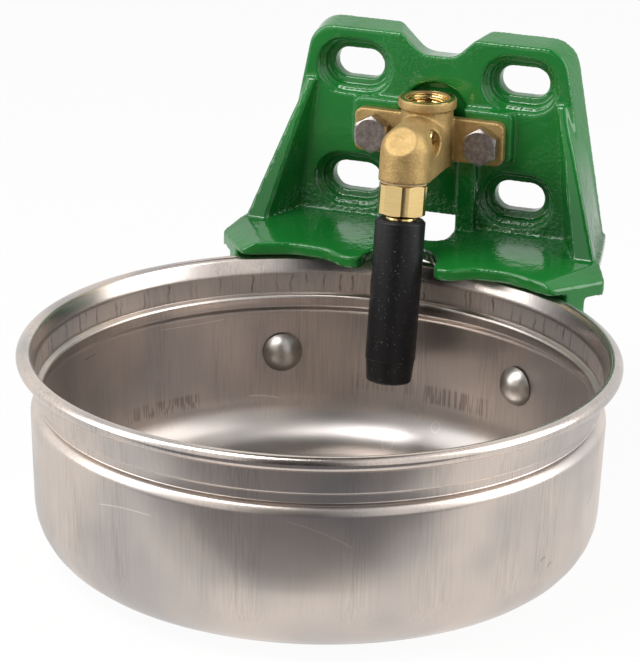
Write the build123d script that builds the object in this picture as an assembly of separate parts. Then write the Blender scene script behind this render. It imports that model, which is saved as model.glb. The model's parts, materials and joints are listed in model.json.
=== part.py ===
from build123d import *
import os
from math import atan2, cos, degrees, radians, sin, sqrt, tan

os.makedirs("parts", exist_ok=True)

# Livestock drinking bowl, all sizes in millimetres.
# Origin: centre of the bowl's underside. +Z up, +Y towards the wall, the animal drinks from -Y.

# Bowl, one sheet of stainless steel
sheet = 1.5
bowl_height = 101.0
rim_radius = 140.0            # over the rolled rim
curl_radius = 4.7             # outside radius of the rolled rim's round section
curl_turn = 290.0             # how far the rim is rolled over, degrees
foot_corner = 28.7            # outside radius between floor and wall
wall_radius_low = rim_radius - 8.1  # outside, where the foot corner ends
wall_radius_high = rim_radius - 6.6  # outside, at the shoulder
shoulder_z = bowl_height - 29.0
groove_low_z = bowl_height - 24.5
groove_high_z = bowl_height - 18.95
groove_depth = 1.9            # from the band under the rim to the groove's middle
shoulder_bend = 3.0
groove_bend = 2.0
band_bend = 0.85

# Bowl bolts, M8 with domed head and square neck, set radially through the bowl's back wall
bowl_bolt_angle = 28.0        # either side of +Y, degrees
bowl_bolt_z = (foot_corner + shoulder_z) / 2 - 0.95
bowl_bolt_radius = 4.0
dome_radius = 10.0
dome_height = 6.0
neck_side = 8.0
neck_clearance = 0.15
neck_end_gap = 0.4            # the square neck ends inside the sheet
seal_thickness = 1.0          # rubber under the domed head
seal_radius = 9.2
pad_thickness = 2.0           # rubber between bowl and bracket
pad_radius = 12.0
bolt_hole_clearance = 0.5
washer_radius = 8.0
washer_thickness = 1.6
nut_flats = 13.0
nut_height = 6.5
bolt_protrusion = 2.5
thread_clearance = 0.02
seat_gap = 0.02               # where rubber lies on the curved wall

# Wall bracket, one iron casting
wall_y = rim_radius + 38.0    # the wall's face
plate_depth = 16.0            # from the wall to the plate's front face
web = 8.0                     # the plate's own thickness
edge_flange = 8.0             # width of the rim around the plate's hollow back
bracket_height = 110.0        # ear tops above the bowl's rim
ear_top_z = bowl_height + bracket_height
edge_draft = 2.4              # the plate's front is this much smaller all round than its back
plate_bottom_z = bowl_height + 1.4
half_width_top = 67.4
half_width_bottom = 87.8
ear_corner = 15.0
valley_drop = 13.6            # the dip between the two ears, below their tops at the back
valley_z = ear_top_z - valley_drop
valley_rise = 1.5             # its floor rises towards the front
valley_half_width_top = 23.6
valley_half_width_bottom = 9.5
valley_bend_top = 5.0
valley_bend_bottom = 13.0
plate_corner = 4.0

# Four slots for the wall fasteners, each in a stepped cup
slot_spacing_x = 86.4
slot_spacing_z = 59.46
slot_mid_z = bowl_height + 58.06
slot_length = 26.0
slot_width = 15.0
cup_step_outer = 6.5          # how far the first step lies outside the slot
cup_step_inner = 4.0
cup_depth_outer = 3.5
cup_depth = 8.0
cup_wall = 9.0                # metal around the slot at the back

# Seat for the valve and the two ribs below it
seat_proud = 5.0
seat_half_width = 41.5
seat_low_z = bowl_height + 48.5
seat_high_z = bowl_height + 74.0
seat_corner = 3.0
rib_inner = 13.7
rib_outer = 23.5
pocket_radius = 17.0          # round pocket behind the inlet collar
pocket_z = bowl_height + 67.5
pocket_depth = 4.5            # into the plate's front face
window_top_z = bowl_height + 16.5
window_front_y = wall_y - 37.0
window_corner = 8.0

# Side wings
wing_top_z = bowl_height + 80.0
wing_foot_z = bowl_height + 9.0
wing_top_front_y = wall_y - 18.0
wing_foot_front_y = wall_y - 39.0
wing_front = [                # height above the rim, then how far the front face's inner and outer
    (5.0, 5.02, -6.28),  # edge lie inside the plate's side; the first row is in the shelf
    (59.9, 7.61, 2.61),
    (67.0, 8.58, 4.08),
    (73.5, 9.46, 5.16),
    (80.0, 10.54, 5.54),
]
wing_root_top = 9.54          # wing's inner face at the plate, from the plate's side
wing_root_foot = 16.37
wing_inset = 0.8              # the wing's back edge lies inside the plate's side

# Shelf over the bowl's back edge, sloping down to the animal
shelf_slope = 4.5
shelf_thickness = 6.2
shelf_ref_y = wall_y - 33.0
shelf_ref_z = bowl_height + 9.8
shelf_corner_x = 80.0
shelf_corner_y = wall_y - 73.4
shelf_tip_x = 100.4
shelf_tip_y = wall_y - 48.4
shelf_tip_drop = 5.0          # the shelf's ends bend down to their tips
shelf_fold_x = 75.5           # the fold runs from here on the front edge back to the wing's foot
shelf_fold_y = wall_y - 69.5
shelf_fold_back_x = 94.2
shelf_fold_back_y = wall_y - 38.2
shelf_lip_x = 28.0            # the lip beside the tube's notch ends here
shelf_lip_y = wall_y - 71.4
shelf_crest_y = wall_y - 64.0  # between the lips the front edge stands back
shelf_crest_fall = 1.0
shelf_crest_inner_x = 38.0
shelf_crest_outer_x = 56.0
shelf_wave_inner_bend = 14.0
shelf_wave_outer_bend = 30.0
shelf_lip_bend = 8.0
shelf_inset = 1.0             # the shelf's ends stay inside the plate's sides
shelf_corner_bend = 4.0
shelf_tip_bend = 3.5
notch_half_width = 18.5
notch_back_y = wall_y - 48.0
notch_bend = 5.0

# Skirt below the shelf, behind the bowl, with the bosses that carry the bowl
skirt_gap = 1.3               # between rolled rim and skirt
rim_gap = 0.7                 # between the rim's top and the shelf
skirt_thickness = 7.0
skirt_half_angle = 37.6
skirt_edge_thickness = 11.2   # the outer edges of the legs are thicker
skirt_edge_angle = 34.6
skirt_band_z = bowl_height - 17.0  # lower edge of the skirt between its two legs
leg_bottom_z = bowl_bolt_z - 14.4
leg_inner_top = 42.0
leg_inner_bottom = 53.0
leg_outer_bottom = 80.0
leg_bend = 6.0
boss_radius = 13.0
boss_proud = 2.0
web_rib_x = 66.0
web_rib_thickness = 8.0
web_rib_low_z = bowl_height - 31.0
web_rib_wall_z = bowl_height - 3.0

# Valve body, one brass casting
flange_half_width = 38.8
flange_low_z = bowl_height + 47.8
flange_high_z = bowl_height + 70.0
flange_thickness = 5.0
flange_corner = 4.0
inlet_y = wall_y - 28.6
inlet_top_z = bowl_height + 80.2
inlet_boss_radius = 13.0
collar_radius = 14.5
collar_height = 4.8
inlet_thread_radius = 10.48   # half the 20.96 mm of a G 1/2 thread
inlet_thread_depth = 13.5
inlet_bore_radius = 7.3
inlet_bore_low_z = bowl_height + 55.0
outlet_tilt = 8.0             # the outlet leans forward at its lower end, degrees
outlet_y = wall_y - 62.7      # centre of the outlet's lower face
outlet_z = bowl_height + 46.4
outlet_radius = 12.4
elbow_height = 15.0           # centre of the round elbow above the outlet's lower face
facet_lift = 43.0             # the flat on the elbow faces forward and up, degrees
facet_distance = 9.6          # from the elbow's centre to that flat
passage_radius = 3.0
port_y = wall_y - 49.0
port_z = bowl_height + 63.5

# Valve mounting bolts, M10 hexagon
valve_bolt_spacing = 56.6
valve_bolt_z = bowl_height + 58.2
valve_bolt_radius = 5.0
valve_bolt_flats = 17.0
valve_bolt_head = 6.4
valve_bolt_length = 20.0
flange_hole_clearance = 0.5
bolt_boss_radius = 10.0
bolt_boss_proud = 5.0

# Inlet strainer
strainer_seat_radius = 9.6    # recess below the thread that takes the strainer's rim
strainer_seat_depth = 1.5
strainer_rim = 1.0
strainer_cup_radius = 6.6
strainer_cup_depth = 7.5
strainer_wall = 0.6
strainer_slots = 8
strainer_slot_width = 1.6
strainer_clearance = 0.1

# Throttle screw in the side port
throttle_radius = 5.0
throttle_tip_radius = 3.9
throttle_clearance = 0.05
throttle_head_radius = 6.1
throttle_head = 2.2
throttle_head_face = 10.4     # distance of the slotted face from the valve's middle
throttle_tip_face = 0.6
throttle_tip_start = 2.4
throttle_travel = 1.8         # each way from the middle setting
throttle_slot_width = 1.6
throttle_slot_depth = 1.4
ring_section = 1.3            # O-ring
ring_squeeze = 0.04

# Parts on the outlet's axis, heights measured along it from the outlet's lower face, up is plus
chamber_radius = 7.5
chamber_top = 17.0
nut_bore_radius = 9.0
nut_thread_radius = 10.4
nut_thread_top = 3.2
nut_flats_width = 22.7
nut_turned_radius = 12.2
nut_low = -16.3
nut_floor = 2.8
nut_hole_radius = 7.9
nut_angle = -5.4
gasket_thickness = 0.8
gasket_radius = 11.5
seat_flange = 1.3
seat_flange_radius = 10.3
seat_neck_top = 7.4
seat_nose = 0.7
seat_nose_wall = 1.0
orifice_radius = 3.6
stem_radius = 2.0
plunger_seal_radius = 5.8
plunger_seal_thickness = 1.0
retainer_radius = 6.2
retainer_thickness = 1.2
pusher_radius = 8.3
pusher_thickness = 1.5
pusher_holes = 4
pusher_hole_radius = 1.2
pusher_hole_circle = 5.0
spring_radius = 3.6
spring_wire = 0.8
spring_turns = 3.5

# Tube with its ball head, the ring it pivots on, and its rubber sleeve
pivot_height = -7.0
ball_radius = 8.4
ball_clearance = 0.05
crown_height = 4.0            # top of the ball head above its centre
tube_neck_radius = 6.5
tube_neck_bore = 4.5
tube_radius = 7.65
tube_bore = 6.2
tube_shoulder = -17.4
tube_low = -97.0
pivot_ring_radius = 8.95
pivot_ring_hole = 7.55
pivot_ring_seat = 2.6         # the ring's top below the ball's centre
sleeve_radius = 12.4
sleeve_top = -18.5
sleeve_low = -100.4
sleeve_step = -88.5
sleeve_step_depth = 0.35
sleeve_nose_radius = 11.1
sleeve_chamfer = 1.4
sleeve_mouth_chamfer = 1.0

# Values that follow from those above
plate_y = wall_y - plate_depth
web_back_y = plate_y + web
seat_y = plate_y - seat_proud
flange_y = seat_y - flange_thickness
curl_centre_r = rim_radius - curl_radius
curl_centre_z = bowl_height - curl_radius
mid_curl = curl_radius - sheet / 2
band_mid_r = curl_centre_r - mid_curl
wall_lean = (wall_radius_high - wall_radius_low) / (shoulder_z - foot_corner)
skirt_inner = rim_radius + skirt_gap
skirt_outer = skirt_inner + skirt_thickness
boss_face = skirt_outer + boss_proud
outlet_up = Vector(0, sin(radians(outlet_tilt)), cos(radians(outlet_tilt)))
outlet_plane = Plane(origin=(0, outlet_y, outlet_z), x_dir=(1, 0, 0), z_dir=outlet_up)


def wall_outside(z):
    """Outside radius of the bowl's wall at height z."""
    return wall_radius_low + (z - foot_corner) * wall_lean


def between_y(sketch, y_front, y_back):
    """Solid of an x-z outline between two distances from the animal's side."""
    return extrude(Plane.XZ.offset(-y_back) * sketch, amount=y_back - y_front)


def between_z(sketch, z_low, z_high):
    """Solid of an x-y outline between two heights."""
    return extrude(Plane.XY.offset(z_low) * sketch, amount=z_high - z_low)


def both_sides(shape):
    """The shape and its mirror image across the middle plane."""
    return shape + mirror(shape, about=Plane.YZ)


def turned(points):
    """Solid turned from a closed outline of (radius, height) points."""
    outline = make_face(Polyline(*points, close=True))
    return revolve(Plane.XZ * outline, axis=Axis.Z)


def on_outlet(shape):
    """Place a part that was made upright on the tilted outlet axis."""
    return outlet_plane * shape


def radial_plane(side, distance):
    """Plane across a bowl bolt's axis, its normal pointing away from the bowl's middle."""
    angle = radians(bowl_bolt_angle) * side
    outward = Vector(sin(angle), cos(angle), 0)
    return Plane(origin=outward * distance + Vector(0, 0, bowl_bolt_z), x_dir=(0, 0, 1), z_dir=outward)


def write(node, shape):
    """Write one sub-part to its own file."""
    export_step(shape, "parts/" + node + ".step")


# Bowl
def sheet_outline():
    """Section of the bowl's sheet: its middle line, thickened to both sides."""
    high_mid = wall_outside(shoulder_z) - sheet / 2
    corner_mid = wall_outside(sheet / 2) - sheet / 2
    groove_mid = band_mid_r - groove_depth
    points = [
        (corner_mid - 2 * foot_corner, sheet / 2),
        (corner_mid, sheet / 2),
        (high_mid, shoulder_z),
        (groove_mid, groove_low_z),
        (groove_mid, groove_high_z),
        (band_mid_r, groove_high_z),
        (band_mid_r, curl_centre_z),
    ]
    bends = [foot_corner - sheet / 2, shoulder_bend, groove_bend, band_bend, band_bend]
    wall = FilletPolyline(*points, radius=bends)
    curl = CenterArc((curl_centre_r, curl_centre_z), mid_curl, 180, -curl_turn)
    section = trace(wall + curl, line_width=sheet)
    floor = Pos(points[0][0] / 2, sheet / 2) * Rectangle(points[0][0], sheet)
    return section + floor


def make_bowl():
    bowl = revolve(Plane.XZ * sheet_outline(), axis=Axis.Z)
    side = neck_side + 2 * neck_clearance
    for hand in (-1, 1):
        square = radial_plane(hand, wall_radius_low - 10) * Rectangle(side, side)
        bowl -= extrude(square, amount=20)
    return bowl


def inside_wall(grow=0.0):
    """The space inside the bowl's lower wall, its outside surface moved outward by grow."""
    low = (wall_outside(foot_corner) + grow, foot_corner)
    high = (wall_outside(shoulder_z) + grow, shoulder_z)
    return turned([(0, foot_corner), low, high, (0, shoulder_z)])


# The domed head stands off the wall by the seal, which fills the curved gap under it.
head_face = sqrt((wall_outside(bowl_bolt_z - dome_radius) - sheet) ** 2 - 0.5 * dome_radius ** 2) \
    - seal_thickness / 2


def bowl_bolt(hand):
    plane = radial_plane(hand, head_face)
    dome_sphere = (dome_radius ** 2 + dome_height ** 2) / (2 * dome_height)
    ball = Pos(0, 0, dome_sphere - dome_height) * Sphere(dome_sphere)
    cap = Pos(0, 0, -dome_height / 2) * Cylinder(dome_radius, dome_height)
    neck_length = wall_outside(bowl_bolt_z) - neck_end_gap - head_face
    neck = extrude(Rectangle(neck_side, neck_side), amount=neck_length)
    end = boss_face + washer_thickness + nut_height + bolt_protrusion - head_face
    shank = extrude(Circle(bowl_bolt_radius), amount=end)
    return plane * ((ball & cap) + neck + shank)


def bowl_bolt_seal(hand):
    ring = Circle(seal_radius) - Circle(neck_side / sqrt(2) + neck_clearance)
    return extrude(radial_plane(hand, head_face) * ring, amount=10) & inside_wall(-sheet - seat_gap)


def bowl_seat_pad(hand):
    ring = Circle(pad_radius) - Circle(bowl_bolt_radius + bolt_hole_clearance + neck_clearance)
    reach = pad_thickness + sheet + dome_radius
    block = extrude(radial_plane(hand, head_face) * ring, amount=reach)
    return (block & inside_wall(pad_thickness - seat_gap)) - inside_wall(seat_gap)


def bowl_bolt_washer(hand):
    ring = Circle(washer_radius) - Circle(bowl_bolt_radius + bolt_hole_clearance / 2)
    return extrude(radial_plane(hand, boss_face) * ring, amount=washer_thickness)


def bowl_bolt_nut(hand):
    hexagon = RegularPolygon(nut_flats / 2, 6, major_radius=False)
    blank = extrude(hexagon, amount=nut_height)
    cone_radius = nut_flats / 2 + nut_height
    rounding = Cone(cone_radius + nut_height, nut_flats / 2 - 0.4, 2 * nut_height,
                    align=(Align.CENTER, Align.CENTER, Align.MIN))
    blank = blank & (Pos(0, 0, -nut_height + 0.3) * rounding)
    blank -= extrude(Circle(bowl_bolt_radius + thread_clearance), amount=nut_height)
    return radial_plane(hand, boss_face + washer_thickness) * blank


# Wall bracket
def both_halves(half):
    """Closed outline from the right half's corners, each with its bend."""
    full = half + [(-a, b, bend) for a, b, bend in reversed(half)]
    points = [(a, b) for a, b, bend in full]
    bends = [bend for a, b, bend in full]
    return make_face(FilletPolyline(*points, radius=bends, close=True))


def plate_outline(inset=0.0):
    """The plate's back, before the valley is taken out of its top edge."""
    return both_halves([
        (half_width_bottom - inset, plate_bottom_z + inset, plate_corner),
        (half_width_top - inset, ear_top_z - inset, ear_corner - inset / 2),
    ])


def valley_outline(grow=0.0):
    """The dip between the two ears at the back, with the space above them."""
    return both_halves([
        (valley_half_width_bottom + grow, valley_z - grow, valley_bend_bottom),
        (valley_half_width_top + grow, ear_top_z - grow, valley_bend_top),
        (half_width_top, ear_top_z - grow, 0.0),
        (half_width_top, ear_top_z + 30, 0.0),
    ])


def from_wall(sketch, inset):
    """Solid of an outline at the wall that gets smaller towards the plate's front."""
    lean = degrees(atan2(inset, plate_depth))
    return extrude(Plane.XZ.offset(-wall_y) * sketch, amount=plate_depth, taper=lean)


def slot_places():
    return [Pos(sx * slot_spacing_x / 2, slot_mid_z + sz * slot_spacing_z / 2)
            for sx in (-1, 1) for sz in (-1, 1)]


def slot_outline(grow):
    return SlotOverall(slot_length + 2 * grow, slot_width + 2 * grow)


def wing():
    """Right side wing: a sloping web between plate and shelf that splays towards the front."""
    side_lean = (half_width_bottom - half_width_top) / (ear_top_z - plate_bottom_z)
    sections = []
    for height, inner, outer in wing_front:
        z = bowl_height + height
        t = (z - wing_foot_z) / (wing_top_z - wing_foot_z)
        front_y = wing_foot_front_y + (wing_top_front_y - wing_foot_front_y) * t
        side = half_width_bottom - (z - plate_bottom_z) * side_lean
        root = side - wing_root_foot - (wing_root_top - wing_root_foot) * t
        corners = [
            (side - inner, front_y),
            (side - outer, front_y),
            (side - wing_inset, wall_y - 2),
            (side - edge_flange + 1, wall_y - 2),
            (side - edge_flange + 1, plate_y + web / 2),
            (root, plate_y + web / 2),
            (root, plate_y),
        ]
        sections.append(Plane.XY.offset(z) * make_face(Polyline(*corners, close=True)))
    return loft(sections, ruled=True)


def shelf_top_z(y):
    """Height of the shelf's top over y, away from its bent ends."""
    return shelf_ref_z - (shelf_ref_y - y) * tan(radians(shelf_slope))


def under_shelf(depth):
    """All space lower than the given depth below the shelf's top, bent ends included."""
    slope = radians(shelf_slope)
    middle = Plane(origin=(0, shelf_ref_y, shelf_ref_z), x_dir=(1, 0, 0),
                   z_dir=(0, -sin(slope), cos(slope)))
    fold_front = Vector(shelf_fold_x, shelf_fold_y, shelf_top_z(shelf_fold_y))
    fold_back = Vector(shelf_fold_back_x, shelf_fold_back_y, shelf_top_z(shelf_fold_back_y))
    tip = Vector(shelf_tip_x, shelf_tip_y, shelf_top_z(shelf_tip_y) - shelf_tip_drop)
    end = Plane(origin=fold_front, z_dir=(tip - fold_front).cross(fold_back - fold_front))
    space = Box(800, 800, 300, align=(Align.CENTER, Align.CENTER, Align.MAX))
    right_end = end.offset(-depth) * space
    return (middle.offset(-depth) * space) & right_end & mirror(right_end, about=Plane.YZ)


def shelf_outline():
    """The shelf seen from above."""
    return both_halves([
        (half_width_bottom - shelf_inset, wall_y, 0.0),
        (shelf_fold_back_x, shelf_fold_back_y, shelf_corner_bend),
        (shelf_tip_x, shelf_tip_y, shelf_tip_bend),
        (shelf_corner_x, shelf_corner_y, shelf_corner_bend),
        (shelf_crest_outer_x, shelf_crest_y, shelf_wave_outer_bend),
        (shelf_crest_inner_x, shelf_crest_y - shelf_crest_fall, shelf_wave_inner_bend),
        (shelf_lip_x, shelf_lip_y, shelf_lip_bend),
        (notch_half_width, shelf_lip_y, notch_bend),
        (notch_half_width, notch_back_y, notch_half_width - 0.1),
    ])


def sector(half_angle):
    """Wedge seen from above, opening towards the wall from the bowl's middle."""
    reach = 2 * skirt_outer
    side = reach * tan(radians(half_angle))
    return make_face(Polyline((0, 0), (side, reach), (-side, reach), close=True))


def skirt():
    """Curved wall behind the bowl: a band under the shelf and two legs with the bolt bosses."""
    ring = Circle(skirt_outer) - Circle(skirt_inner)
    edge_ring = Circle(skirt_inner + skirt_edge_thickness) - Circle(skirt_inner)
    whole = sector(skirt_half_angle)
    edges = (edge_ring & whole) - sector(skirt_edge_angle)
    wall = between_z((ring & whole) + edges, leg_bottom_z, shelf_ref_z)
    top = shelf_ref_z + 1
    leg_outer_top = (skirt_inner + skirt_edge_thickness) * sin(radians(skirt_half_angle)) + 1
    band = Pos(0, (skirt_band_z + top) / 2) * Rectangle(2 * skirt_outer, top - skirt_band_z)
    leg_points = [
        (leg_inner_top, top),
        (leg_inner_top, skirt_band_z),
        (leg_inner_bottom, leg_bottom_z),
        (leg_outer_bottom, leg_bottom_z),
        (leg_outer_top, skirt_band_z),
        (leg_outer_top, top),
    ]
    bends = [0.0, leg_bend, leg_bend, leg_bend, leg_bend, 0.0]
    leg = make_face(FilletPolyline(*leg_points, radius=bends, close=True))
    keep = band + leg + mirror(leg, about=Plane.YZ)
    wall = wall & between_y(keep, 0, wall_y)
    for hand in (-1, 1):
        wall += extrude(radial_plane(hand, wall_radius_low) * Circle(boss_radius),
                        amount=boss_face - wall_radius_low)
    return (wall & under_shelf(shelf_thickness / 2)) - inside_wall(pad_thickness)


def under_rib():
    """Right web under the shelf, from the skirt's leg back to the wall."""
    leg_y = sqrt(skirt_outer ** 2 - (web_rib_x + web_rib_thickness) ** 2) - 1
    top = shelf_ref_z - shelf_thickness + 1
    side = [(leg_y, web_rib_low_z), (leg_y, top), (wall_y, top), (wall_y, web_rib_wall_z)]
    face = Plane.YZ.offset(web_rib_x) * make_face(Polyline(*side, close=True))
    return extrude(face, amount=web_rib_thickness)


def make_bracket():
    outline = plate_outline()
    valley = valley_outline()
    hollow = plate_outline(edge_flange) - valley_outline(edge_flange)
    body = from_wall(outline, edge_draft) - from_wall(valley, valley_rise)
    body -= between_y(hollow, web_back_y, wall_y)

    seat_height = seat_high_z - seat_low_z
    seat = Pos(0, (seat_high_z + seat_low_z) / 2) * RectangleRounded(
        2 * seat_half_width, seat_height, seat_corner)
    body += between_y(seat, seat_y, plate_y)
    rib_low = shelf_ref_z - shelf_thickness / 2
    rib_height = seat_low_z + seat_corner - rib_low
    rib = Pos((rib_inner + rib_outer) / 2, rib_low + rib_height / 2) * Rectangle(
        rib_outer - rib_inner, rib_height)
    body += between_y(rib + mirror(rib, about=Plane.YZ), seat_y, plate_y)

    for side in (-1, 1):
        place = Pos(side * valve_bolt_spacing / 2, valve_bolt_z)
        body += between_y(place * Circle(bolt_boss_radius), web_back_y, web_back_y + bolt_boss_proud)
    for place in slot_places():
        body += between_y(place * slot_outline(cup_wall), web_back_y, wall_y)

    body += both_sides(wing())
    block = between_z(shelf_outline(), shelf_ref_z - 40, shelf_ref_z + 10)
    body += (block & under_shelf(0.0)) - under_shelf(shelf_thickness)
    body += skirt()
    body += both_sides(under_rib())
    body -= between_z(Circle(skirt_inner), bowl_bolt_z + boss_radius + 2, bowl_height + rim_gap)
    body -= between_y(Rectangle(400, 600), wall_y, wall_y + 60)

    for place in slot_places():
        body -= between_y(place * slot_outline(cup_step_outer), seat_y - 1, plate_y + cup_depth_outer)
        body -= between_y(place * slot_outline(cup_step_inner), seat_y - 1, plate_y + cup_depth)
        body -= between_y(place * slot_outline(0), seat_y - 1, wall_y + 1)

    body -= between_y(Pos(0, pocket_z) * Circle(pocket_radius), seat_y - 1, plate_y + pocket_depth)
    window_wall = Pos(0, window_top_z - 15) * Rectangle(2 * rib_inner, 30)
    body -= between_y(window_wall, plate_y - 1, wall_y + 1)
    window_length = wall_y - window_front_y
    window_floor = Pos(0, window_front_y + window_length) * RectangleRounded(
        2 * rib_inner, 2 * window_length, window_corner)
    body -= between_z(window_floor, shelf_ref_z - 15, shelf_ref_z + 6)

    for side in (-1, 1):
        place = Pos(side * valve_bolt_spacing / 2, valve_bolt_z)
        hole = place * Circle(valve_bolt_radius + thread_clearance)
        body -= between_y(hole, seat_y - 1, wall_y + 1)
        bolt_hole = radial_plane(side, wall_radius_low - 10) * Circle(bowl_bolt_radius + bolt_hole_clearance)
        body -= extrude(bolt_hole, amount=60)
    return body


# Valve body
elbow_centre = Vector(0, outlet_y, outlet_z) + outlet_up * elbow_height


def make_valve_body():
    flange_height = flange_high_z - flange_low_z
    flange = Pos(0, (flange_high_z + flange_low_z) / 2) * RectangleRounded(
        2 * flange_half_width, flange_height, flange_corner)
    body = between_y(flange, flange_y, seat_y)

    trunk = Pos(0, inlet_y) * Circle(inlet_boss_radius)
    collar_low = inlet_top_z - collar_height
    bottom = outlet_z - 0.4
    body += between_z(trunk, bottom, collar_low + 0.5) & between_y(Rectangle(400, 600), 0, seat_y)
    pocket_reach = sqrt(pocket_radius ** 2 - (inlet_boss_radius + 1) ** 2)
    body += between_z(trunk, pocket_z - pocket_reach, collar_low + 0.5)
    body += between_z(Pos(0, inlet_y) * Circle(collar_radius), collar_low, inlet_top_z)

    # A level round neck runs forward to the elbow, on a straight-sided web.
    neck_length_y = inlet_y - elbow_centre.Y
    neck = Plane(origin=(0, inlet_y, elbow_centre.Z), z_dir=(0, -1, 0)) * Circle(outlet_radius)
    body += extrude(neck, amount=neck_length_y)
    side_web = Pos(0, (elbow_centre.Y + inlet_y) / 2) * Rectangle(2 * outlet_radius, neck_length_y)
    body += between_z(side_web, bottom, elbow_centre.Z)
    body += Pos(elbow_centre) * Sphere(outlet_radius)
    body += on_outlet(extrude(Circle(outlet_radius), amount=elbow_height))
    body -= on_outlet(Pos(0, 0, -10) * Box(60, 34, 20))

    lift = radians(facet_lift)
    away = Vector(0, -cos(lift), sin(lift))
    facet = Plane(origin=elbow_centre + away * facet_distance, z_dir=away)
    body -= facet * Box(40, 40, 20, align=(Align.CENTER, Align.CENTER, Align.MIN))

    thread_low = inlet_top_z - inlet_thread_depth
    body -= between_z(Pos(0, inlet_y) * Circle(inlet_thread_radius), thread_low, inlet_top_z + 1)
    seat_floor = thread_low - strainer_seat_depth
    body -= between_z(Pos(0, inlet_y) * Circle(strainer_seat_radius), seat_floor, thread_low + 1)
    body -= between_z(Pos(0, inlet_y) * Circle(inlet_bore_radius), inlet_bore_low_z, seat_floor + 1)
    passage = Plane(origin=(0, inlet_y, port_z), z_dir=(0, -1, 0)) * Circle(passage_radius)
    body -= extrude(passage, amount=inlet_y - elbow_centre.Y)
    body -= on_outlet(Pos(0, 0, -1) * extrude(Circle(nut_thread_radius + throttle_clearance),
                                             amount=1 + nut_thread_top + seat_flange))
    body -= on_outlet(extrude(Circle(chamber_radius), amount=chamber_top))

    tip_low = throttle_tip_face - throttle_travel - 0.6
    body -= port_bore(throttle_head_radius + throttle_clearance,
                      throttle_head_face - throttle_head - throttle_travel - 0.3, 20)
    body -= port_bore(throttle_radius + throttle_clearance,
                      throttle_tip_start - throttle_travel - 0.3, 20)
    body -= port_bore(throttle_tip_radius + throttle_clearance, tip_low, 20)
    for side in (-1, 1):
        place = Pos(side * valve_bolt_spacing / 2, valve_bolt_z)
        body -= between_y(place * Circle(valve_bolt_radius + flange_hole_clearance), flange_y - 1, seat_y + 1)
    return body


def port_bore(radius, x_low, x_high):
    plane = Plane(origin=(x_low, port_y, port_z), x_dir=(0, 1, 0), z_dir=(1, 0, 0))
    return extrude(plane * Circle(radius), amount=x_high - x_low)


def hex_bolt(side):
    """M10 bolt: chamfered hexagon head in front of the flange, thread into the bracket."""
    hexagon = RegularPolygon(valve_bolt_flats / 2, 6, major_radius=False, rotation=30)
    head = extrude(hexagon, amount=valve_bolt_head)
    crown = Cone(valve_bolt_flats / 2 + 2 * valve_bolt_head, valve_bolt_flats / 2 - 0.4,
                 2 * valve_bolt_head + 0.6, align=(Align.CENTER, Align.CENTER, Align.MIN))
    head = head & (Pos(0, 0, -valve_bolt_head - 0.6) * crown)
    shank = Pos(0, 0, -valve_bolt_length) * extrude(Circle(valve_bolt_radius), amount=valve_bolt_length)
    plane = Plane(origin=(side * valve_bolt_spacing / 2, flange_y, valve_bolt_z),
                  x_dir=(1, 0, 0), z_dir=(0, -1, 0))
    return plane * (head + shank)


def make_strainer():
    """Perforated cup that hangs in the inlet, its rim in the recess below the thread."""
    rim_radius_in = strainer_cup_radius - strainer_wall
    rim = extrude(Circle(strainer_seat_radius - strainer_clearance) - Circle(rim_radius_in),
                  amount=strainer_rim)
    wall = Pos(0, 0, -strainer_cup_depth) * extrude(
        Circle(strainer_cup_radius) - Circle(rim_radius_in), amount=strainer_cup_depth)
    floor = Pos(0, 0, -strainer_cup_depth) * extrude(Circle(strainer_cup_radius), amount=strainer_wall)
    cup = rim + wall + floor
    slot_height = strainer_cup_depth - 2.5
    for step in range(strainer_slots):
        cutter = Pos(strainer_cup_radius, 0, -strainer_cup_depth / 2) * Box(
            4 * strainer_wall, strainer_slot_width, slot_height)
        cup -= Rot(0, 0, step * 360 / strainer_slots) * cutter
    return Pos(0, inlet_y, inlet_top_z - inlet_thread_depth - strainer_seat_depth) * cup


def make_throttle():
    """Slotted screw whose tip narrows the passage, with a groove for its O-ring."""
    head_low = throttle_head_face - throttle_head
    groove_half = ring_section / 2 + 0.15
    ring_mid = throttle_tip_start + 0.2 + groove_half
    groove_radius = throttle_radius - ring_section
    points = [
        (0, throttle_tip_face),
        (throttle_tip_radius - 0.8, throttle_tip_face),
        (throttle_tip_radius, throttle_tip_face + 0.8),
        (throttle_tip_radius, throttle_tip_start),
        (throttle_radius, throttle_tip_start),
        (throttle_radius, ring_mid - groove_half),
        (groove_radius, ring_mid - groove_half),
        (groove_radius, ring_mid + groove_half),
        (throttle_radius, ring_mid + groove_half),
        (throttle_radius, head_low),
        (throttle_head_radius, head_low),
        (throttle_head_radius, throttle_head_face - 0.5),
        (throttle_head_radius - 0.5, throttle_head_face),
        (0, throttle_head_face),
    ]
    screw = turned(points)
    screw -= Pos(0, 0, throttle_head_face) * Box(
        2 * throttle_head_radius, throttle_slot_width, 2 * throttle_slot_depth)
    ring_radius = throttle_radius - ring_section / 2
    ring = Pos(0, 0, ring_mid) * Torus(ring_radius, ring_section / 2 - ring_squeeze / 2)
    plane = Plane(origin=(0, port_y, port_z), x_dir=(0, 1, 0), z_dir=(1, 0, 0))
    return plane * screw, plane * ring


# Parts on the outlet axis
seat_low = nut_thread_top
seat_high = seat_neck_top + seat_nose
seal_low = seat_high
retainer_low = seal_low + plunger_seal_thickness
spring_low = retainer_low + retainer_thickness
pusher_low = pivot_height + crown_height + ball_clearance


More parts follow.
